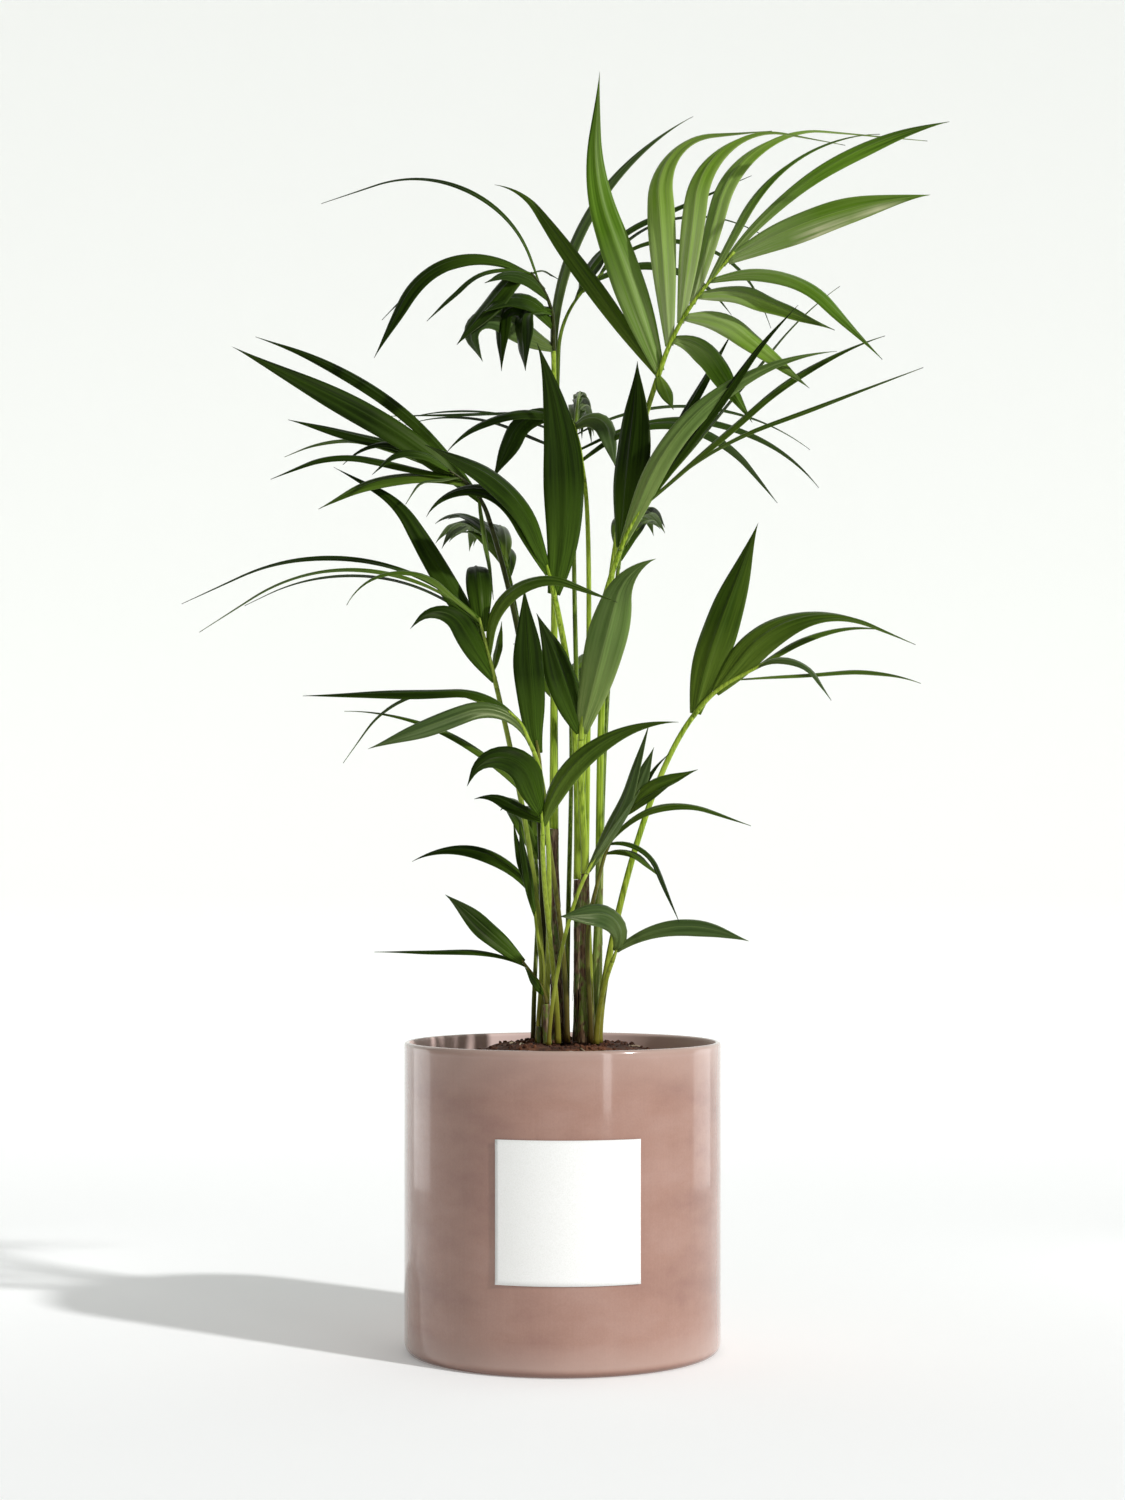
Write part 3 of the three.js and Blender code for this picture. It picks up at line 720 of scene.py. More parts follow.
@dataclass(frozen=True)
class Bezier:
    """A cubic curve through four control points."""

    controls: tuple[Vector, Vector, Vector, Vector]

    def point(self, t: float) -> Vector:
        """Finds a point of the curve.

        Args:
            t: The share of the way from the first control point to the last.

        Returns:
            The point.
        """
        a, b, c, d = self.controls
        s = 1.0 - t
        return a * s**3 + b * (3 * s * s * t) + c * (3 * s * t * t) + d * t**3

    def tangent(self, t: float) -> Vector:
        """Finds the direction of the curve.

        Args:
            t: The share of the way from the first control point to the last.

        Returns:
            The direction, of length 1.
        """
        a, b, c, d = self.controls
        s = 1.0 - t
        return ((b - a) * (s * s) + (c - b) * (2 * s * t) + (d - c) * (t * t)).normalized()


def grid(
    bm: Mesh,
    along: int,
    across: int,
    place: Place,
    tone: int = 0,
    size: tuple[float, float] | None = None,
) -> list[bmesh.types.BMVert]:
    """Adds a grid and moves each of its points to where a rule puts it.

    Args:
        bm: The mesh that takes the grid.
        along: Segments along the grid.
        across: Segments across it.
        place: Gives a point, in millimetres, for two shares from 0 to 1.
        tone: The material index of its faces.
        size: Its length and width in millimetres, written to the second UV map.

    Returns:
        The grid's points.
    """
    points = bmesh.ops.create_grid(bm, x_segments=along, y_segments=across, size=0.5, calc_uvs=True)["verts"]
    faces = {face for vert in points for face in vert.link_faces}
    if size:
        share, millimetres = bm.loops.layers.uv.values()
        shift = random.Random(round(size[0] * 13 + size[1] * 7)).uniform(0.0, 900.0)
        for loop in (loop for face in faces for loop in face.loops):
            u, v = loop.vert.co.x + 0.5, loop.vert.co.y + 0.5
            loop[share].uv = (u, v)
            loop[millimetres].uv = (u * size[0] + shift, (v - 0.5) * size[1])
    for face in faces:
        face.material_index = tone
        face.smooth = True
    for vert in points:
        vert.co = place(vert.co.x + 0.5, vert.co.y + 0.5) * MM
    return points


def tube(bm: Mesh, curve: Arc | Bezier, radius: Girth, reference: Vector, rings: int, sides: int) -> None:
    """Adds a closed tube whose sections stand square to a curve.

    Args:
        bm: The mesh that takes the tube.
        curve: The tube's middle line.
        radius: Gives the radius for a share of the length and a share of the turn.
        reference: A direction that the curve never runs along.
        rings: Segments along the tube.
        sides: Segments round it.
    """

    def place(t: float, s: float) -> Vector:
        """Finds a point of the wall.

        Args:
            t: The share of the length.
            s: The share of the turn.

        Returns:
            The point, in millimetres.
        """
        tangent = curve.tangent(t)
        across = tangent.cross(reference).normalized()
        angle = math.tau * s
        length = radius(t, s % 1.0)
        out = across * (math.cos(angle) * length) + across.cross(tangent) * (math.sin(angle) * length)
        return curve.point(t) + out

    points = grid(bm, rings, sides, place)
    bmesh.ops.remove_doubles(bm, verts=points, dist=0.002 * MM)
    live = [v for v in points if v.is_valid]
    rim = {e for v in live for e in v.link_edges if e.is_boundary}
    bmesh.ops.holes_fill(bm, edges=list(rim), sides=0)


def lathe(bm: Mesh, outline: Sequence[tuple[float, float]], turns: int) -> None:
    """Spins a section round the upright axis.

    Args:
        bm: The mesh that takes the turned shape.
        outline: The section's points, each with its radius and height in millimetres.
        turns: Segments round the axis.
    """
    verts = [bm.verts.new((r * MM, 0.0, z * MM)) for r, z in outline]
    edges = [bm.edges.new(pair) for pair in zip(verts, verts[1:])]
    turn = {"axis": UP, "cent": (0.0, 0.0, 0.0), "angle": math.tau, "steps": turns, "use_merge": True}
    bmesh.ops.spin(bm, geom=verts + edges, **turn)
    bmesh.ops.remove_doubles(bm, verts=bm.verts, dist=0.02 * MM)
    for face in bm.faces:
        face.smooth = True


def finish_mesh(
    bm: Mesh, name: str, materials: Sequence[Material], turn_out: bool = True
) -> bpy.types.Object:
    """Turns a bmesh into an object at the origin.

    Args:
        bm: The finished shape, which is freed.
        name: The object's name.
        materials: Its material slots, in order.
        turn_out: Whether the faces are turned outwards first.

    Returns:
        The object.
    """
    if turn_out:
        bmesh.ops.recalc_face_normals(bm, faces=bm.faces)
    mesh = bpy.data.meshes.new(name)
    bm.to_mesh(mesh)
    bm.free()
    for material in materials:
        mesh.materials.append(material)
    piece = bpy.data.objects.new(name, mesh)
    bpy.context.scene.collection.objects.link(piece)
    return piece


def settle(piece: bpy.types.Object, slot: str, *nodes: str) -> None:
    """Lets a piece ride on the one body in place of its nodes.

    Args:
        piece: The finished piece.
        slot: A material slot's name; it is not used.
        *nodes: The nodes that it stands for.
    """
    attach(piece, "root")
    if nodes:
        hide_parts(*nodes)
    log.info("%s: %d faces", piece.name, len(piece.data.polygons))


# ------------------------------------------------------------------ pot, label and soil


@dataclass
class Pot:
    """The glazed pot: a straight cylinder with a small rounded foot and a thin rounded lip."""

    radius: float = 140.0
    height: float = 272.0
    wall: float = 6.0
    floor: float = 12.0
    fillet: float = 6.0
    foot_inset: float = 6.0
    corner: float = 9.0
    steps: int = 8
    turns: int = 144
    outer_rings: tuple[float, ...] = (20.0, 80.0, 160.0, 230.0, 266.0)
    inner_rings: tuple[float, ...] = (230.0, 120.0)
    glaze: GlazedCeramic = GlazedCeramic()

    def outline(self) -> list[tuple[float, float]]:
        """Works out the wall's section, from the middle of the underside to the middle of the floor.

        Returns:
            The points, each with its radius and height.
        """
        lip = self.wall / 2
        bottom = self.radius - self.foot_inset
        inner = self.radius - self.wall
        points = [(0.0, 0.0), (bottom * 0.5, 0.0), (bottom - self.wall / 2, 0.0)]
        for t in (i / self.steps for i in range(self.steps + 1)):
            r = bottom * (1 - t) ** 2 + 2 * self.radius * t * (1 - t) + self.radius * t**2
            points.append((r, self.corner * t**2))
        points += [(self.radius, z) for z in self.outer_rings]
        for angle in (math.pi * i / self.steps for i in range(self.steps + 1)):
            r, z = lip * math.cos(angle), lip * math.sin(angle)
            points.append((self.radius - lip + r, self.height - lip + z))
        points += [(inner, z) for z in (*self.inner_rings, self.floor + self.fillet)]
        return points + [(inner - self.fillet, self.floor), (inner * 0.5, self.floor), (0.0, self.floor)]

    def build(self) -> None:
        """Turns the wall's section and glazes it."""
        bm = bmesh.new()
        lathe(bm, self.outline(), self.turns)
        settle(finish_mesh(bm, "glazed_pot", [made(self.glaze)]), "glaze", "pot")


@dataclass
class Label:
    """The blank label, pressed round the pot's front, its corners lifting by a hair."""

    turn_from: float = -23.4
    turn_to: float = 27.5
    bottom: float = 77.0
    top: float = 198.0
    thickness: float = 0.6
    stand_off: float = 0.5
    lift: float = 0.35
    pot_radius: float = 140.0
    along: int = 40
    across: int = 24
    paper: CoatedPaper = CoatedPaper()

    def place(self, s: float, t: float) -> Vector:
        """Finds a point of the outer face.

        Args:
            s: The share of the width.
            t: The share of the height.

        Returns:
            The point, in millimetres.
        """
        angle = math.radians(self.turn_from + (self.turn_to - self.turn_from) * s)
        lift = self.lift * (abs(2 * s - 1) ** 8 + abs(2 * t - 1) ** 10)
        radius = self.pot_radius + self.stand_off + self.thickness + lift
        z = self.bottom + (self.top - self.bottom) * t
        return Vector((radius * math.sin(angle), -radius * math.cos(angle), z))

    def build(self) -> None:
        """Bends the sheet, turns it to the front and gives it its thickness."""
        bm = bmesh.new()
        grid(bm, self.along, self.across, self.place)
        bmesh.ops.recalc_face_normals(bm, faces=bm.faces)
        if sum(face.normal.y for face in bm.faces) > 0:
            bmesh.ops.reverse_faces(bm, faces=bm.faces)
        bmesh.ops.solidify(bm, geom=bm.faces, thickness=self.thickness * MM)
        settle(finish_mesh(bm, "blank_label", [made(self.paper)]), "label_paper", "label")


@dataclass
class Soil:
    """The soil: it fills the pot, mounds up to the rim in the middle, and is strewn with crumbs."""

    radius: float = 133.5
    bottom: float = 12.3
    edge: float = 246.0
    shoulder_radius: float = 84.0
    shoulder: float = 262.0
    crown_radius: float = 54.0
    crown: float = 271.0
    side_rings: tuple[float, ...] = (80.0, 160.0, 220.0)
    rings: int = 46
    turns: int = 150
    crumbs: int = 900
    crumb_sizes: tuple[float, ...] = (1.1, 1.4, 1.8, 2.4, 3.0)
    rough: tuple[float, float] = (9.0, 1.5)
    swell: tuple[float, float] = (30.0, 1.6)
    sunk: float = 1.6
    fade: float = 4.0
    jag: float = 0.14
    seed: int = 7
    finish: PottingSoil = PottingSoil()

    def height(self, r: float) -> float:
        """Works out the plain mound's height.

        Args:
            r: The distance from the middle.

        Returns:
            The height.
        """
        rows = (
            (self.crown_radius, self.crown),
            (self.shoulder_radius, self.shoulder),
            (self.radius, self.edge),
        )
        for (r0, z0), (r1, z1) in zip(((0.0, self.crown), *rows), rows):
            if r <= r1:
                return z0 + (z1 - z0) * (r - r0) / (r1 - r0)
        return self.edge

    def surface(self, x: float, y: float) -> float:
        """Works out the height of the crumbly surface, whose roughness fades out at the wall.

        Args:
            x: The place to the right.
            y: The place to the back.

        Returns:
            The height.
        """
        r = math.hypot(x, y)
        rough = noise.fractal(Vector((x, y, 3.0)) / self.rough[0], 1.0, 2.0, 4) * self.rough[1]
        swell = noise.noise(Vector((x, y, 8.0)) / self.swell[0]) * self.swell[1]
        fade = min(1.0, (self.radius - r) / self.fade)
        return self.height(min(r, self.radius)) - self.sunk + (rough + swell) * fade

    def build(self) -> None:
        """Turns the mound, roughens it and strews it with crumbs."""
        bm = bmesh.new()
        rows = [(0.0, self.bottom), (self.radius * 0.5, self.bottom), (self.radius, self.bottom)]
        rows += [(self.radius, z) for z in (*self.side_rings, self.edge)]
        inward = [self.radius * (1 - i / self.rings) for i in range(1, self.rings + 1)]
        lathe(bm, rows + [(r, self.height(r)) for r in inward], self.turns)
        for vert in bm.verts:
            if vert.co.z > (self.edge - 1.0) * MM:
                vert.co.z = self.surface(vert.co.x / MM, vert.co.y / MM) * MM
        self.strew(bm)
        settle(finish_mesh(bm, "soil_mound", [made(self.finish)]), "potting_soil", "soil")

    def strew(self, bm: Mesh) -> None:
        """Lays the crumbs on the surface, each of its own size and shape.

        Args:
            bm: The soil's mesh.
        """
        chance = random.Random(self.seed)
        noise.seed_set(self.seed)
        for _ in range(self.crumbs):
            r = self.radius * math.sqrt(chance.random()) * 0.965
            turn = chance.uniform(0.0, math.tau)
            x, y = r * math.cos(turn), r * math.sin(turn)
            size = chance.choice(self.crumb_sizes) * chance.uniform(0.8, 1.2)
            sides = (size, size * chance.uniform(0.6, 1.0), size * chance.uniform(0.5, 0.8), 1.0)
            spin = Matrix.Rotation(chance.uniform(0, math.tau), 4, (chance.random(), chance.random(), 1.0))
            at = Matrix.Translation(Vector((x, y, self.surface(x, y) + 0.15 * size)) * MM)
            frame = at @ spin @ Matrix.Diagonal(sides)
            for vert in bmesh.ops.create_icosphere(bm, subdivisions=1, radius=MM, matrix=frame)["verts"]:
                vert.co += Vector(noise.random_vector()) * (self.jag * size * MM)


@dataclass
class Roots:
    """Roots that show at the soil's surface round the stems."""

    count: int = 7
    seed: int = 21
    near: float = 34.0
    far: float = 62.0
    proud: float = 2.4
    sunk: float = 2.5
    soil: Soil = field(default_factory=Soil)
    skin: RootSkin = RootSkin()

    def build(self) -> None:
        """Lays each root over the mound, with both ends in it."""
        chance = random.Random(self.seed)
        bm = bmesh.new()
        for _ in range(self.count):
            turn = chance.uniform(0.0, math.tau)
            r = chance.uniform(self.near, self.far)
            start = Vector((r * math.cos(turn), r * math.sin(turn), 0.0))
            away = turn + chance.uniform(-1.2, 1.2)
            reach = chance.uniform(14.0, 34.0)
            side = Vector((-math.sin(away), math.cos(away), 0.0)) * chance.uniform(-6.0, 6.0)
            end = start + Vector((math.cos(away), math.sin(away), 0.0)) * reach
            controls = (start, start.lerp(end, 0.33) + side, start.lerp(end, 0.66) + side, end)
            for point, lift in zip(controls, (-self.sunk, self.proud, self.proud, -self.sunk)):
                point.z = self.soil.surface(point.x, point.y) + lift
            thick = chance.uniform(0.7, 1.2)
            tube(bm, Bezier(controls), lambda t, s: thick * (1.0 - 0.35 * t), UP, 14, 8)
        settle(finish_mesh(bm, "surface_roots", [made(self.skin)]), "stem_fibre")


# ------------------------------------------------------------------ stems


@dataclass
class Stem:
    """A stem wrapped in old leaf bases, whose relief is cut into its mesh."""

    name: str
    foot: tuple[float, float]
    top: Triple
    radii: tuple[float, float]
    flare: float
    bark: Bark
    seed: int
    flare_height: float = 18.0
    sheath: float = 62.0
    core: float = 0.94
    edge: float = 0.055
    edge_lean: float = 0.25
    furrow: float = 0.075
    strands: float = 3.2
    strand_drawn: float = 0.035
    strand_scale: float = 1.7
    ring: float = 1.6
    sides: int = 40
    wisp_every: float = 7.0
    wisp_radius: float = 0.38

    @property
    def height(self) -> float:
        """The stem's height over the soil."""
        return self.top[2] - GROUND

    def curve(self) -> Bezier:
        """Lays out the middle line, upright at both ends.

        Returns:
            The line.
        """
        start, end = Vector((*self.foot, GROUND)), Vector(self.top)
        third = UP * (self.height / 3)
        return Bezier((start, start + third, end - third, end))

    def radius(self, t: float, s: float) -> float:
        """Works out the bark's radius: a plain taper and flare, then sheath edges and fibres.

        Args:
            t: The share of the height.
            s: The share of the turn.

        Returns:
            The radius.
        """
        z, angle = t * self.height, math.tau * s
        plain = self.radii[0] + (self.radii[1] - self.radii[0]) * t
        plain *= 1 + (self.flare - 1) * math.exp(-z / self.flare_height)
        lean = self.edge_lean * math.sin(angle + self.seed)
        overlap = self.edge * (1.0 - (z / self.sheath + lean) % 1.0) ** 3
        x, y = math.cos(angle) * self.strands, math.sin(angle) * self.strands
        around = Vector((x, y, z * self.strand_drawn + self.seed * 5.0))
        fibres = noise.fractal(around * self.strand_scale, 1.0, 2.1, 3)
        return plain * (self.core + overlap + self.furrow * fibres)

    def build(self) -> None:
        """Builds the stem and the loose fibres that hang from its sheaths."""
        bm = bmesh.new()
        curve = self.curve()
        tube(bm, curve, self.radius, FRONT, max(12, round(self.height / self.ring)), self.sides)
        chance = random.Random(self.seed)
        for _ in range(int(self.height / self.wisp_every)):
            self.add_wisp(bm, curve, chance)
        settle(finish_mesh(bm, f"{self.name}_bark", [made(self.bark.value)]), "stem_fibre", self.name)

    def add_wisp(self, bm: Mesh, curve: Bezier, chance: random.Random) -> None:
        """Adds one fibre that has come away from the sheath at one end.

        Args:
            bm: The stem's mesh.
            curve: The stem's middle line.
            chance: The source of its place and its small differences.
        """
        t, turn = chance.uniform(0.08, 0.92), chance.random()
        out = Vector((math.cos(math.tau * turn), math.sin(math.tau * turn), 0.0))
        radius = self.radius(t, turn)
        length = chance.uniform(9.0, 22.0) * chance.choice((-1.0, 1.0))
        start = curve.point(t) + out * (radius * 0.92)
        middle = start + UP * (length * 0.5) + out * (radius * 0.12)
        end = start + UP * length + out * (radius * 0.12 + chance.uniform(0.3, 1.5))
        for point in (start, middle, end):
            point.z = min(max(point.z, GROUND + 1.0), self.top[2] - 1.0)
        wisp = Bezier((start, start.lerp(middle, 0.6), middle, end))
        side = Vector((out.y, -out.x, 0.0))
        tube(bm, wisp, lambda s, _: self.wisp_radius * (1.0 - 0.7 * s), side, 5, 4)


STEMS = (
    Stem("stem_main", (-4, 4), (-8, 8, 460), (6.6, 4.4), 1.6, Bark.FIBROUS, 3),
    Stem("stem_brown", (14, 14), (14, 14, 415), (4, 4.2), 1.4, Bark.FIBROUS, 5),
    Stem("stem_green", (19, -13), (20, -15, 420), (4.6, 3.8), 1.4, Bark.SPLIT, 9),
    Stem("stem_right", (28, 5), (33, 4, 435), (4, 3.6), 1.5, Bark.SMOOTH, 13),
    Stem("stem_small", (-13, -25), (-14, -26, 306), (3.4, 3), 1.2, Bark.SPLIT, 17),
    Stem("stem_stub", (-19.5, -18.5), (-20.5, -19, 286), (2.6, 2.2), 1.2, Bark.FIBROUS, 19),
)


# ------------------------------------------------------------------ fronds


@dataclass(frozen=True)
class Leaflet:
    """One leaflet: its place on the rib, size, run, roll and twist, and its colouring."""

    place: float
    length: float
    width: float
    belly: float
    rise: float
    bend: float
    start: float
    stop: float
    depth: float
    roll: float
    tone: Tone
    aside: float = 0.0
    twist: float = 0.0

    @property
    def sweep(self) -> Sweep:
        """How the leaflet runs from its root to its tip."""
        return Sweep(self.length, self.rise, self.bend, self.start, self.stop, self.depth)


@dataclass(frozen=True)
class Pairs:
    """Opposite pairs of leaflets along a rib, with one at its tip."""

    count: int
    length: float
    width: float
    spread: float
    rise: float
    bend: float
    belly: float = 0.4
    roll: float = 90.0
    first: float = 0.12
    run: float = 0.8
    smallest: float = 0.75
    closing: float = 0.35
    stagger: float = 0.03
    last: float = 0.99
    last_size: float = 0.8

    def leaflets(self, rib: Sweep) -> tuple[Leaflet, ...]:
        """Works out the pairs, longest in the middle of the rib.

        Args:
            rib: How the rib that they grow on runs.

        Returns:
            The leaflets.
        """
        rows = []
        chance = random.Random(self.count * 100 + round(self.spread))
        shape = (self.width, self.belly)
        for i in range(self.count):
            place = self.first + self.run * i / (self.count - 1)
            size = self.smallest + (1 - self.smallest) * math.sin(math.pi * place)
            for side in (-1, 1):
                depth = side * self.spread * size * (1 - self.closing * place) + chance.uniform(-5, 5)
                rise = rib.rise + rib.bend * place + self.rise + chance.uniform(-5, 5)
                bend = self.bend + chance.uniform(-7, 7)
                # DEEP is a painted-shade tone; here it takes every other leaflet.
                tone = (DEEP, LEAF)[(i + (side > 0)) % 2]
                length = self.length * size * chance.uniform(0.94, 1.0)
                run = (rise, bend, 0, 1, depth, self.roll)
                rows.append(Leaflet(place + self.stagger * side, length, *shape, *run, tone))
        shape = (self.length * self.last_size, self.width * self.last_size, self.belly)
        run = (rib.rise + rib.bend, self.bend / 2, 0, 1, 0, self.roll)
        rows.append(Leaflet(self.last, *shape, *run, LEAF))
        return tuple(rows)


@dataclass(frozen=True)
class BladeRule:
    """The one rule that every leaflet's shape follows, with heights as shares of half its width."""

    neck: float = 0.3
    taper: float = 1.3
    fold: float = 0.16
    ridge: float = 0.10
    ridge_width: float = 0.12
    pleat: float = 0.022
    pleats: float = 1.5
    ripple: float = 0.07
    waves: tuple[float, float] = (1.5, 3.0)
    lag: float = 1.1
    crowding: float = 1.25
    sway: float = 9.0
    twist_start: float = 0.3
    twist_run: float = 0.45
    thickness: float = 0.55
    segment: float = 5.0
    across: int = 10

    def width_at(self, t: float, belly: float) -> float:
        """Works out a leaflet's width at one place.

        Args:
            t: The share of the length.
            belly: The share at which it is widest.

        Returns:
            The share of the full width.
        """
        if t < belly:
            return self.neck + (1 - self.neck) * math.sin(math.pi / 2 * t / belly)
        return max(0.0, math.cos(math.pi / 2 * (t - belly) / (1 - belly))) ** self.taper

    def twist_at(self, t: float) -> float:
        """Gives the share of the twist that is reached at a share t of the length."""
        late = min(max((t - self.twist_start) / self.twist_run, 0.0), 1.0)
        return late * late * (3.0 - 2.0 * late)


@dataclass
class Frond:
    """A frond: a petiole from its foot to the junction, then a rib with leaflets."""

    name: str
    junction: Triple
    radii: tuple[float, float]
    stalk: Stalk
    rib: Sweep
    foot: tuple[float, float] | None = None
    on: str | None = None
    hold: float = 0.4
    swing: float = 0.3
    heading: float = 0.0
    rib_skin: Stalk | None = None
    leaflets: tuple[Leaflet, ...] = ()
    pairs: Pairs | None = None
    rule: BladeRule = BladeRule()
    core: float = 0.97
    sheath: float = 0.16
    sheath_fall: float = 14.0
    channel: float = 0.16
    channel_place: float = 0.25
    channel_width: float = 0.09
    rib_taper: float = 0.5

    @property
    def back(self) -> Vector:
        """The level direction square to the frond's own plane."""
        return Plane(self.heading).back

    def rib_curve(self) -> Arc:
        """Gives the rib's middle line."""
        return Arc(Vector(self.junction), Plane(self.heading), self.rib)

    def petiole_curve(self) -> Bezier:
        """Lays out the petiole: upright at its foot, in line with the rib at the junction.

        Returns:
            Its middle line.
        """
        tops = {stem.name: stem.top[2] + CLEARANCE for stem in STEMS}
        start = Vector((*self.foot, tops.get(self.on, GROUND)))
        away = self.rib_curve().tangent(0.0)
        end = Vector(self.junction) - away * CLEARANCE
        length = (end - start).length
        return Bezier((start, start + UP * (self.hold * length), end - away * (self.swing * length), end))

    def build(self) -> None:
        """Builds the petiole, where the frond has one, then the leaflets and the rib."""
        if self.foot:
            self.build_petiole()
        self.build_blade()
        self.build_rib()

    def build_petiole(self) -> None:
        """Builds the petiole: round, with a shallow channel down its upper side."""
        first, last = self.radii

        def radius(t: float, s: float) -> float:
            """Works out the radius: a plain taper, the sheath at the foot and the channel.

            Args:
                t: The share of the length.
                s: The share of the turn.

            Returns:
                The radius.
            """
            channel = self.channel * math.exp(-(((s - self.channel_place) / self.channel_width) ** 2))
            sheath = self.sheath * math.exp(-t * self.sheath_fall)
            return (first + (last - first) * t) * (self.core + sheath - channel)

        bm = bmesh.new()
        curve = self.petiole_curve()
        length = (curve.controls[3] - curve.controls[0]).length
        tube(bm, curve, radius, -self.back, max(16, round(length / 6)), 20)
        stalk = finish_mesh(bm, f"{self.name}_stalk", [made(self.stalk.value)])
        settle(stalk, "petiole", f"petiole_{self.name}")

    def build_blade(self) -> None:
        """Builds the leaflets as one piece, with a slot for each face of each colouring."""
        rows = self.leaflets or self.pairs.leaflets(self.rib)
        bm = bmesh.new()
        bm.loops.layers.uv.new("share")
        bm.loops.layers.uv.new("millimetres")
        tones = sorted({row.tone for row in rows}, key=lambda tone: tone.name)
        for i, row in enumerate(rows):
            self.add_leaflet(bm, row, 2 * tones.index(row.tone), 31 * i + len(self.name))
        finishes = [made(blade) for tone in tones for blade in tone.value]
        blade = finish_mesh(bm, f"{self.name}_leaflets", finishes, turn_out=False)
        shell = blade.modifiers.new("thickness", "SOLIDIFY")
        shell.thickness = self.rule.thickness * MM
        shell.offset = 0.0
        shell.material_offset = 1
        settle(blade, "frond_leaf", f"frond_{self.name}")

    def add_leaflet(self, bm: Mesh, row: Leaflet, tone: int, seed: int) -> None:
        """Adds one leaflet: folded along its midrib, pleated, with a gently waved edge.

        Args:
            bm: The frond's mesh.
            row: The leaflet's sizes.
            tone: The material index of its upper face.
            seed: The number its small differences come from.
        """
        rule = self.rule
        plane = Plane(self.heading + row.aside)
        curve = Arc(self.rib_curve().point(row.place), plane, row.sweep, 60)
        upside = -1.0 if math.cos(math.radians(row.rise + row.bend / 2)) < 0 else 1.0
        chance = random.Random(seed)
        wave = chance.uniform(*rule.waves)
        phase = chance.uniform(0.0, math.tau)
        sway = chance.uniform(-rule.sway, rule.sway)

        def place(t: float, s: float) -> Vector:
            """Finds a point of the blade's middle sheet.

            Args:
                t: The share of the length.
                s: The share of the width.

            Returns:
                The point, in millimetres.
            """
            raw = 1.0 - 2.0 * s
            u = math.copysign(abs(raw) ** rule.crowding, raw)
            slope = curve.angle_at(t)
            tilt = math.radians(row.roll + sway * math.sin(math.pi * t) + row.twist * rule.twist_at(t))
            lean = math.sin(tilt) * upside
            level = plane.back * -math.cos(tilt) - plane.right * (lean * math.sin(slope))
            tangent = curve.tangent(t)
            over = tangent.cross(level + UP * (lean * math.cos(slope))).normalized()
            half = row.width / 2 * rule.width_at(t, row.belly)
            ridge = rule.ridge * math.exp(-((u / rule.ridge_width) ** 2))
            pleat = rule.pleat * math.cos(u * rule.pleats * math.tau)
            lag = rule.lag if u > 0 else 0.0
            ripple = rule.ripple * u * u * math.sin(math.tau * wave * t + phase + lag)
            lift = half * (ridge + pleat + ripple - abs(u) * rule.fold)
            return curve.point(t) + over * (u * half) + over.cross(tangent) * lift

        along = max(14, round(row.length / rule.segment))
        points = grid(bm, along, rule.across, place, tone, (row.length, row.width))
        bmesh.ops.remove_doubles(bm, verts=points, dist=0.01 * MM)

    def build_rib(self) -> None:
        """Builds the rib, tapering to its tip."""
        bm = bmesh.new()
        root = self.radii[1]
        tube(bm, self.rib_curve(), lambda t, s: root * (1.0 - self.rib_taper * t), -self.back, 24, 14)
        skin = made((self.rib_skin or self.stalk).value)
        settle(finish_mesh(bm, f"{self.name}_rib", [skin]), "petiole")


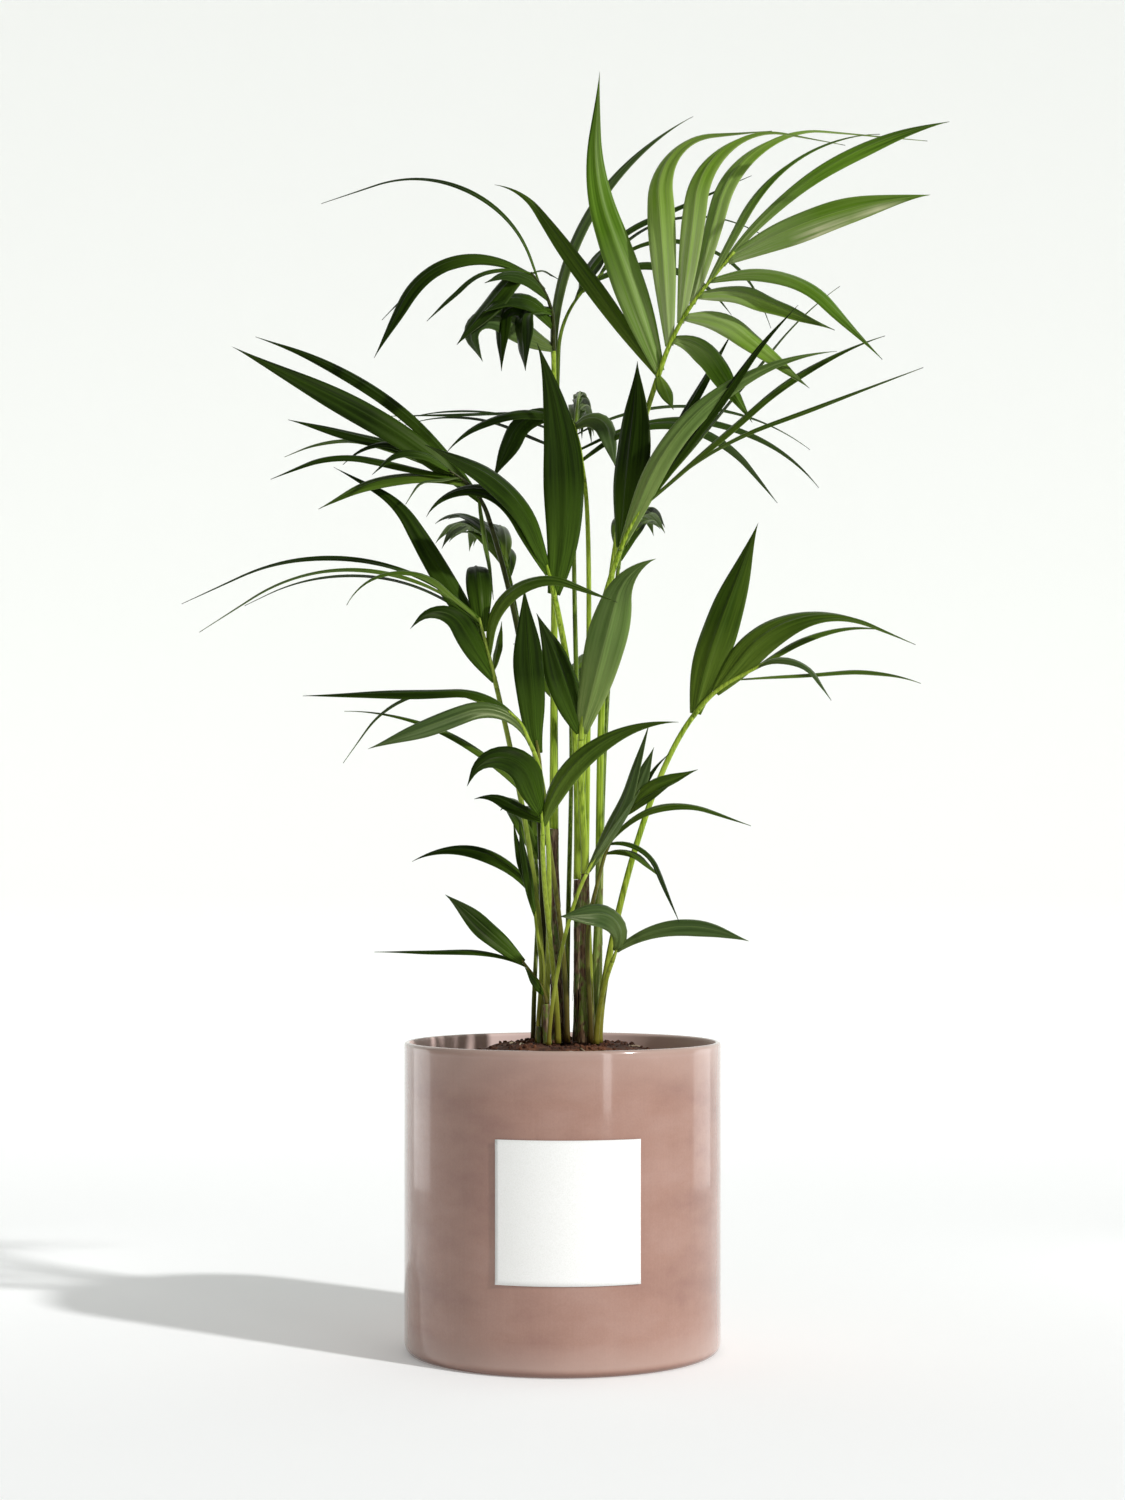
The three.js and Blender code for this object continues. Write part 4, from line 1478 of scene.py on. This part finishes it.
FRONDS = (
    Frond(
        "top_right", (83, -30, 853), (3.4, 2.4), Stalk.FRESH, Sweep(124, 71, -22, 0.1, 0.7, -25),
        foot=(33, 4), on="stem_right", hold=0.42, swing=0.34, leaflets=(
            Leaflet(0.02, 238, 17, 0.45, 124, 44, 0.8, 1, 60, 15, LEAF),
            Leaflet(0.05, 278, 29, 0.3, 109, -23, 0.5, 0.8, 20, 10, LIVELY),
            Leaflet(0.23, 259, 25, 0.45, 94, -91, 0.5, 0.8, -10, 20, BRIGHT, twist=42),
            Leaflet(0.4, 262, 21, 0.35, 83, -96, 0.4, 0.8, -30, 20, BRIGHT, twist=48),
            Leaflet(0.55, 306, 19, 0.3, 75, -79, 0.3, 0.7, 20, 28, BRIGHT, twist=42),
            Leaflet(0.72, 194, 12, 0.45, 61, -66, 0.3, 1, -60, 35, LIVELY, twist=30),
            Leaflet(0.88, 232, 15, 0.65, 54, -45, 0, 1, -20, 30, LIVELY),
            Leaflet(0.93, 172, 29, 0.45, 22, -22, 0.2, 1, -60, 16, SCARRED),
            Leaflet(0.75, 176, 20, 0.4, 6, -59, 0.1, 0.6, -90, 35, LIVELY),
            Leaflet(0.62, 123, 23, 0.35, 4, -32, 0.1, 0.4, -50, 30, BRIGHT),
            Leaflet(0.45, 131, 24, 0.35, -9, -37, 0.1, 0.4, -70, 20, BRIGHT),
            Leaflet(0.28, 108, 24, 0.35, -5, -55, 0, 0.4, -30, 22, LIVELY),
            Leaflet(0.02, 38, 13, 0.4, -73, 2, 0, 1, -30, 20, LEAF),
        ),
    ),
    Frond(
        "top_back", (-5, 60, 859), (3.4, 2.2), Stalk.AGED, Sweep(125, 88, -47, 0.3, 0.9, 10),
        foot=(-6, 26), swing=0.2, leaflets=(
            Leaflet(0.03, 314, 13, 0.5, 99, -69, 0, 1, 60, 40, GREY),
            Leaflet(0.7, 215, 11, 0.4, 73, -47, 0, 0.5, 40, 55, SHADE),
            Leaflet(0.95, 212, 11, 0.4, 57, -124, 0, 0.9, 60, 55, SHADE),
            Leaflet(0.96, 195, 11, 0.4, 67, -86, 0, 0.9, 90, 60, SHADE),
            Leaflet(0.9, 147, 14, 0.4, 29, -79, 0.1, 0.9, 30, 40, SHADE),
            Leaflet(0.78, 73, 18, 0.45, 79, -27, 0, 1, 70, 25, SHADE),
        ),
    ),
    Frond(
        "top_left", (-8, 10, 886), (3.6, 2.2), Stalk.FRESH, Sweep(70, 91, 41, 0.3, 0.9, -20),
        foot=(-8, 8), on="stem_main", rib_skin=Stalk.DARK, leaflets=(
            Leaflet(0.82, 256, 13, 0.4, 108, 86, 0.1, 0.8, 70, 72, DEEP),
            Leaflet(0.93, 189, 16, 0.6, 155, 88, 0.1, 0.7, -20, 35, DEEP),
            Leaflet(0.94, 154, 11, 0.4, 156, 69, 0.1, 0.8, 20, 60, DEEP),
            Leaflet(0.98, 113, 11, 0.55, 167, 64, 0, 0.6, -60, 45, DEEP),
            Leaflet(0.72, 115, 24, 0.5, 142, 94, 0.1, 0.3, -70, 25, DEEP),
            Leaflet(0.03, 115, 28, 0.35, 160, 132, 0.4, 0.8, -90, 20, GREY),
            Leaflet(0.5, 101, 18, 0.4, 187, 83, 0.3, 0.5, -60, 35, DEEP),
            Leaflet(0.45, 90, 22, 0.4, 155, 118, 0, 0.4, -90, 30, DEEP),
            Leaflet(0.28, 74, 22, 0.45, 128, 92, 0.1, 0.7, -70, 30, DEEP),
            Leaflet(0.62, 62, 16, 0.45, 134, 80, 0.1, 0.8, -50, 35, SHADE),
            Leaflet(0.99, 27, 9, 0.4, 35, -47, 0.3, 0.6, 40, 55, DEEP),
        ),
    ),
    Frond(
        "front", (-7, -40, 661), (3.8, 2.6), Stalk.FRESH, Sweep(27, 103, 4, depth=-10),
        foot=(14, 14), on="stem_brown", hold=0.45, swing=0.35, leaflets=(
            Leaflet(0.06, 212, 37, 0.45, 76, 36, 0, 1, -50, 15, DEEP),
            Leaflet(0.72, 148, 24, 0.35, 116, 130, 0.3, 1, -70, 32, DEEP),
            Leaflet(0.95, 140, 25, 0.5, 113, 47, 0.2, 0.7, -100, 24, DEEP),
        ),
    ),
    Frond(
        "upper_left", (-64, -10, 730), (3.2, 2.2), Stalk.DARK, Sweep(58, 108, 40, 0.1, 0.8, -20),
        foot=(-17, 9), hold=0.35, swing=0.35, leaflets=(
            Leaflet(0.35, 248, 24, 0.47, 137, 18, 0, 0.6, -45, 16, DEEP),
            Leaflet(0.3, 267, 14, 0.55, 122, 37, 0, 0.9, 60, 38, DEEP),
            Leaflet(0.93, 158, 15, 0.5, 148, 16, 0, 0.5, 40, 34, DEEP),
            Leaflet(0.88, 169, 13, 0.5, 154, 43, 0.4, 0.9, 90, 56, LEAF),
            Leaflet(0.75, 171, 14, 0.5, 169, 35, 0.5, 0.8, -20, 48, DEEP),
            Leaflet(0.6, 138, 16, 0.5, 161, 49, 0, 0.8, -25, 36, LEAF),
            Leaflet(1, 103, 12, 0.4, 153, 68, 0.4, 0.9, 10, 48, DEEP),
            Leaflet(0.97, 76, 13, 0.4, 149, 80, 0.2, 0.8, -40, 42, DEEP),
            Leaflet(0.8, 58, 9, 0.4, 192, 51, 0.5, 0.7, -30, 60, GREY),
            Leaflet(0.4, 93, 9, 0.4, 279, -4, 0.6, 1, -15, 60, LEAF),
        ),
    ),
    Frond(
        "left", (-57, -50, 581), (3, 2.2), Stalk.OLIVE, Sweep(60, 103, 2, depth=-20),
        foot=(-16, -4), leaflets=(
            Leaflet(0.57, 217, 21, 0.3, 121, 30, 0.6, 0.8, 40, 28, DEEP),
            Leaflet(0.8, 110, 22, 0.4, 85, -115, 0.2, 1, 10, 90, DEEP, aside=90),
            Leaflet(0.1, 104, 22, 0.4, 122, 109, 0.5, 0.9, -60, 25, DEEP),
            Leaflet(0.47, 152, 16, 0.35, 86, -110, 0.1, 0.7, -70, 40, LEAF),
            Leaflet(0.23, 46, 9, 0.4, 77, 8, 0, 1, 20, 40, LEAF),
            Leaflet(1, 286, 13, 0.4, 135, 68, 0, 0.8, 60, 70, DEEP),
            Leaflet(0.88, 233, 11, 0.4, 136, 66, 0, 0.9, 100, 70, DEEP),
            Leaflet(0.93, 267, 11, 0.4, 135, 78, 0, 0.8, 0, 74, LEAF),
            Leaflet(0.97, 135, 10, 0.4, 140, 106, 0.3, 1, -40, 55, LEAF),
        ),
    ),
    Frond(
        "middle_left", (-25, -75, 525), (2.6, 1.9), Stalk.FRESH, Sweep(40, 114, 25, 0.5, 0.8, -10),
        foot=(-14, -15), hold=0.3, swing=0.2, leaflets=(
            Leaflet(0.12, 217, 14, 0.5, 110, 71, 0, 0.4, 20, 45, DEEP),
            Leaflet(0.35, 146, 18, 0.55, 118, 84, 0, 0.4, -50, 25, GREY),
            Leaflet(0.9, 177, 9, 0.4, 156, 77, 0.2, 0.8, 60, 65, LEAF),
        ),
    ),
    Frond(
        "low_front", (-17, -75, 453), (2.6, 2), Stalk.FRESH, Sweep(20, 89, 7, depth=-5),
        foot=(-4, -20), hold=0.3, leaflets=(
            Leaflet(0.88, 102, 27, 0.35, 109, 139, 0.3, 0.9, -70, 22, DEEP),
            Leaflet(0.82, 202, 10, 0.3, 124, 56, 0, 1, 30, 60, LEAF),
            Leaflet(0.57, 65, 14, 0.4, 152, 46, 0.6, 1, 40, 35, DEEP),
            Leaflet(0.4, 153, 20, 0.3, 76, -79, 0, 1, -60, 31, LEAF),
        ),
    ),
    Frond(
        "inner_right", (16, -32, 537), (3.6, 2.8), Stalk.FRESH, Sweep(24, 86, -1, depth=-5),
        foot=(20, -15), on="stem_green", hold=0.35, swing=0.35, leaflets=(
            Leaflet(0.25, 110, 31, 0.4, 109, 6, 0.6, 0.8, -15, 20, DEEP),
            Leaflet(0.25, 163, 35, 0.5, 75, -61, 0.7, 1, -65, 14, PALE),
        ),
    ),
    Frond(
        "inner_left", (-20, -52, 516), (2.6, 2), Stalk.BRONZE, Sweep(19, 95, 6, depth=-4),
        foot=(4, -10), swing=0.35, leaflets=(
            Leaflet(0.4, 142, 28, 0.5, 103, -9, 0, 0.2, -20, 20, DEEP),
        ),
    ),
    Frond(
        "upper_right", (50, -50, 700), (3.2, 2.4), Stalk.FRESH, Sweep(45, 69, -17, depth=-10),
        foot=(25, -4), swing=0.35, leaflets=(
            Leaflet(0.06, 166, 34, 0.5, 84, 4, 0.6, 0.9, 20, 24, DEEP),
            Leaflet(0.1, 254, 21, 0.3, 67, -66, 0.2, 1, -60, 25, PALE),
            Leaflet(0.95, 204, 12, 0.45, 53, -8, 0.7, 0.9, -55, 41, DEEP),
            Leaflet(1, 259, 9, 0.4, 51, -15, 0.7, 1, 30, 68, GREY),
            Leaflet(0.97, 243, 11, 0.6, 40, -25, 0.5, 1, -50, 50, LEAF),
            Leaflet(0.98, 249, 11, 0.6, 43, -26, 0, 0.5, -90, 65, LEAF),
            Leaflet(0.92, 184, 11, 0.6, 69, -8, 0.1, 0.6, 60, 50, DEEP),
        ),
    ),
    Frond(
        "behind", (20, 60, 779), (3, 2), Stalk.FRESH, Sweep(66, 97, 16, 0.4, 1, 30),
        foot=(20, 30), swing=0.15, leaflets=(
            Leaflet(0.82, 111, 22, 0.6, 129, 115, 0, 0.6, 10, 25, SHADE),
            Leaflet(0.6, 190, 11, 0.4, 134, 44, 0, 0.4, 60, 65, SHADE),
            Leaflet(0.53, 184, 10, 0.4, 142, 49, 0, 1, 100, 68, SHADE),
            Leaflet(0.33, 182, 10, 0.4, 151, 41, 0.4, 1, 110, 68, SHADE),
            Leaflet(0.88, 129, 16, 0.4, 157, 76, 0, 1, -20, 45, SHADE),
            Leaflet(0.82, 75, 22, 0.4, 31, -109, 0.1, 0.5, -30, 35, GREY),
            Leaflet(0.7, 239, 11, 0.4, 35, -67, 0, 1, 110, 65, SHADE),
            Leaflet(0.47, 249, 13, 0.6, 29, -79, 0.1, 1, 60, 55, SHADE),
            Leaflet(0.3, 217, 14, 0.6, 38, -89, 0.1, 0.8, 20, 45, SHADE),
        ),
    ),
    Frond(
        "right", (116, 0, 560), (3.4, 2.4), Stalk.FRESH, Sweep(78, 52, -25, 0.1, 0.6, -25),
        foot=(32, -9), hold=0.2, swing=0.25, leaflets=(
            Leaflet(0.03, 177, 34, 0.4, 79, -9, 0, 0.4, -10, 18, LEAF),
            Leaflet(0.35, 202, 30, 0.25, 51, -77, 0.2, 0.8, -40, 22, LEAF, twist=40),
            Leaflet(0.82, 128, 11, 0.4, 32, -40, 0.3, 1, 30, 50, LEAF),
            Leaflet(0.88, 80, 11, 0.4, 34, -95, 0, 0.7, -50, 50, GREY),
            Leaflet(0.6, 172, 9, 0.7, 5, -25, 0.6, 1, 40, 65, LEAF),
        ),
    ),
    Frond(
        "low_right", (26, -24, 393), (2.4, 2), Stalk.BRONZE, Sweep(92, 76, -18, 0.4, 0.7, -12),
        foot=(25, -20), leaflets=(
            Leaflet(0.97, 59, 13, 0.4, 74, -6, 0.1, 0.3, 0, 25, GREY),
            Leaflet(1, 67, 14, 0.4, 55, -36, 0.1, 0.5, -20, 35, LEAF),
            Leaflet(0.96, 63, 9, 0.4, 62, -19, 0.4, 0.9, 20, 70, DEEP),
            Leaflet(0.93, 47, 9, 0.4, 41, -11, 0.2, 0.5, -30, 50, LEAF),
            Leaflet(0.65, 129, 11, 0.4, 54, -75, 0, 0.7, -60, 50, LEAF),
            Leaflet(0.6, 99, 10, 0.4, 13, -82, 0, 0.5, -60, 50, DEEP),
            Leaflet(0.5, 59, 9, 0.4, 12, -56, 0.1, 0.6, -10, 55, LEAF),
        ),
    ),
    Frond(
        "young_right", (21, -48, 420), (2, 1.7), Stalk.FRESH, Sweep(25, 62, -3, depth=-3),
        foot=(-12, -44), hold=0.15, leaflets=(
            Leaflet(0.1, 138, 15, 0.4, 62, 11, 0.4, 0.6, -20, 32, GREY),
            Leaflet(0.42, 74, 10, 0.4, 56, 2, 0, 1, -25, 135, GREY),
        ),
    ),
    Frond(
        "lowest_right", (43, -55, 344), (2.6, 2), Stalk.FRESH, Sweep(13, 69, 3, depth=-3),
        foot=(29.5, -30), hold=0.3, leaflets=(
            Leaflet(0.72, 76, 23, 0.55, 55, 128, 0, 0.6, -45, 25, GREY),
            Leaflet(0.78, 119, 16, 0.6, 38, -56, 0, 0.8, -20, 35, GREY),
        ),
    ),
    Frond(
        "lowest_left", (-14, -26, 306.3), (2.4, 2), Stalk.BRONZE, Sweep(45, 97, 30, 0, 0.5, -3),
        on="stem_small", leaflets=(
            Leaflet(0.93, 90, 21, 0.5, 138, 7, 0.8, 1, -20, 25, DEEP),
            Leaflet(0.82, 135, 8, 0.4, 151, 29, 0, 0.4, -10, 62, DEEP),
            Leaflet(0.18, 30, 10, 0.4, 125, -2, 0, 1, -30, 40, DEEP),
        ),
    ),
    Frond(
        "low_left", (-20, -18, 352), (2.2, 1.8), Stalk.FRESH, Sweep(52, 98, -2),
        foot=(-22, -11), hold=0.3, leaflets=(
            Leaflet(0.97, 124, 14, 0.4, 120, 90, 0, 1, 30, 40, DEEP),
            Leaflet(0.6, 84, 10, 0.4, 100, -6, 0.7, 1, -40, 40, DEEP),
            Leaflet(0.88, 70, 10, 0.4, 107, -10, 0.4, 1, -30, 40, DEEP),
        ),
    ),
    Frond(
        "back_left", (-48, 105, 690), (3, 2), Stalk.AGED, Sweep(110, 62, -47),
        foot=(-14, 38), hold=0.45, heading=112, pairs=Pairs(6, 115, 16, 26, 8, -70),
    ),
    Frond(
        "back_right", (52, 110, 705), (3, 2), Stalk.AGED, Sweep(110, 62, -47),
        foot=(33, 26), hold=0.45, heading=78, pairs=Pairs(6, 115, 16, 20, 8, -68),
    ),
    Frond(
        "back_middle", (8, 120, 560), (2.8, 2), Stalk.AGED, Sweep(90, 60, -40),
        foot=(4, 44), heading=92, pairs=Pairs(5, 105, 16, 60, 20, -70),
    ),
    Frond(
        "back_low", (-24, 80, 430), (2.4, 1.8), Stalk.AGED, Sweep(60, 58, -30),
        foot=(-26, 26), heading=100, pairs=Pairs(4, 95, 15, 25, 18, -70),
    ),
    Frond(
        "back_top", (12, 110, 830), (3, 2), Stalk.AGED, Sweep(90, 62, -48),
        foot=(18, 46), hold=0.45, heading=86, pairs=Pairs(4, 112, 11, 9, -6, -72),
    ),
)


# ------------------------------------------------------------------ studio


@dataclass
class Backdrop:
    """The paper backdrop: level under the pot, then round a quarter turn, then up."""

    half_width: float = 7000.0
    near: float = -4500.0
    length: float = 9000.0
    flat: float = 2200.0
    radius: float = 1100.0
    below: float = 0.2
    climb: float = 6.0
    paper: StudioPaper = StudioPaper()

    def place(self, t: float, s: float) -> Vector:
        """Finds a point of the paper.

        Args:
            t: The share of its length.
            s: The share of its width.

        Returns:
            The point, in millimetres.
        """
        x = self.half_width * (2.0 * s - 1.0)
        run = self.near + self.length * t
        if run < self.flat:
            return Vector((x, run, -self.below))
        angle = min((run - self.flat) / self.radius, math.pi / 2)
        rest = max(0.0, run - self.flat - self.radius * math.pi / 2)
        y = self.flat + self.radius * math.sin(angle)
        return Vector((x, y, -self.below + self.radius * (1 - math.cos(angle)) + rest * self.climb))

    def build(self) -> None:
        """Hangs the paper."""
        bm = bmesh.new()
        grid(bm, 60, 4, self.place)
        floor = finish_mesh(bm, "studio_floor", [made(self.paper)])


@dataclass
class Studio:
    """The pale backdrop, the key light, the softboxes and the level camera."""

    distance: float = 2160.0
    eye: float = 404.0
    focal_pixels: float = 2438.0
    picture: tuple[int, int] = (1125, 1500)
    horizon: float = 892.0
    sensor: float = 36.0
    toward_key: Triple = (0.689, -0.524, 0.5)
    key_power: float = 2.56
    key_softness: float = 3.0
    ambient: float = 0.25
    surroundings: str = "#fbfcf9"

    def build(self) -> None:
        """Builds the whole studio."""
        self.add_camera()
        Backdrop().build()
        key = bpy.data.lights.new("key_light", "SUN")
        key.energy = self.key_power
        key.angle = math.radians(self.key_softness)
        self.aim(key, (0, 0, 0), -Vector(self.toward_key))
        self.add_softbox("window_strip", (1000, -1670, 720), (0, 0, 500), (0.2, 1.35), 2.6)
        self.add_softbox("left_panel", (-860, 420, 190), (0, 0, 190), (0.42, 0.3), 0.34)
        self.add_softbox("right_panel", (880, 400, 190), (0, 0, 190), (0.42, 0.3), 0.34)
        world = bpy.data.worlds.new("studio")
        world.use_nodes = True
        back = world.node_tree.nodes["Background"]
        back.inputs["Color"].default_value = linear(self.surroundings)
        back.inputs["Strength"].default_value = self.ambient
        bpy.context.scene.world = world
        bpy.context.scene.view_settings.view_transform = "Standard"

    def add_camera(self) -> None:
        """Adds the camera, level and square to the front, raised by its shift alone."""
        data = bpy.data.cameras.new("camera")
        data.sensor_width = self.sensor
        data.lens = self.sensor * self.focal_pixels / self.picture[1]
        data.shift_y = (self.horizon - self.picture[1] / 2) / self.picture[1]
        data.clip_end = 50.0
        bpy.context.scene.camera = self.aim(data, (0.0, -self.distance, self.eye), -FRONT)

    def add_softbox(
        self, name: str, place: Triple, target: Triple, size: tuple[float, float], power: float
    ) -> None:
        """Adds an upright softbox that faces a point.

        Args:
            name: The light's name.
            place: Where its middle hangs, in millimetres.
            target: What it faces, in millimetres.
            size: Its width and height, in metres.
            power: Its power, in watts.
        """
        data = bpy.data.lights.new(name, "AREA")
        data.shape = "RECTANGLE"
        data.size, data.size_y = size
        data.energy = power
        self.aim(data, place, Vector(target) - Vector(place))

    def aim(self, data: bpy.types.ID, place: Triple, toward: Vector) -> bpy.types.Object:
        """Hangs a light or the camera in its place and turns it.

        Args:
            data: The light's or the camera's own data.
            place: Where it hangs, in millimetres.
            toward: The direction that it faces.

        Returns:
            The new object.
        """
        item = bpy.data.objects.new(data.name, data)
        item.location = Vector(place) * MM
        item.rotation_euler = toward.to_track_quat("-Z", "Y").to_euler()
        bpy.context.scene.collection.objects.link(item)
        return item


def main() -> None:
    """Builds the studio, the pot and the plant in order."""
    logging.basicConfig(level=logging.INFO, format="%(name)s %(message)s", stream=sys.stdout)
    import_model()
    for part in (Studio(), Pot(), Label(), Soil(), Roots(), *STEMS, *FRONDS):
        log.info("building %s", getattr(part, "name", type(part).__name__))
        part.build()


if __name__ == "__main__":
    main()
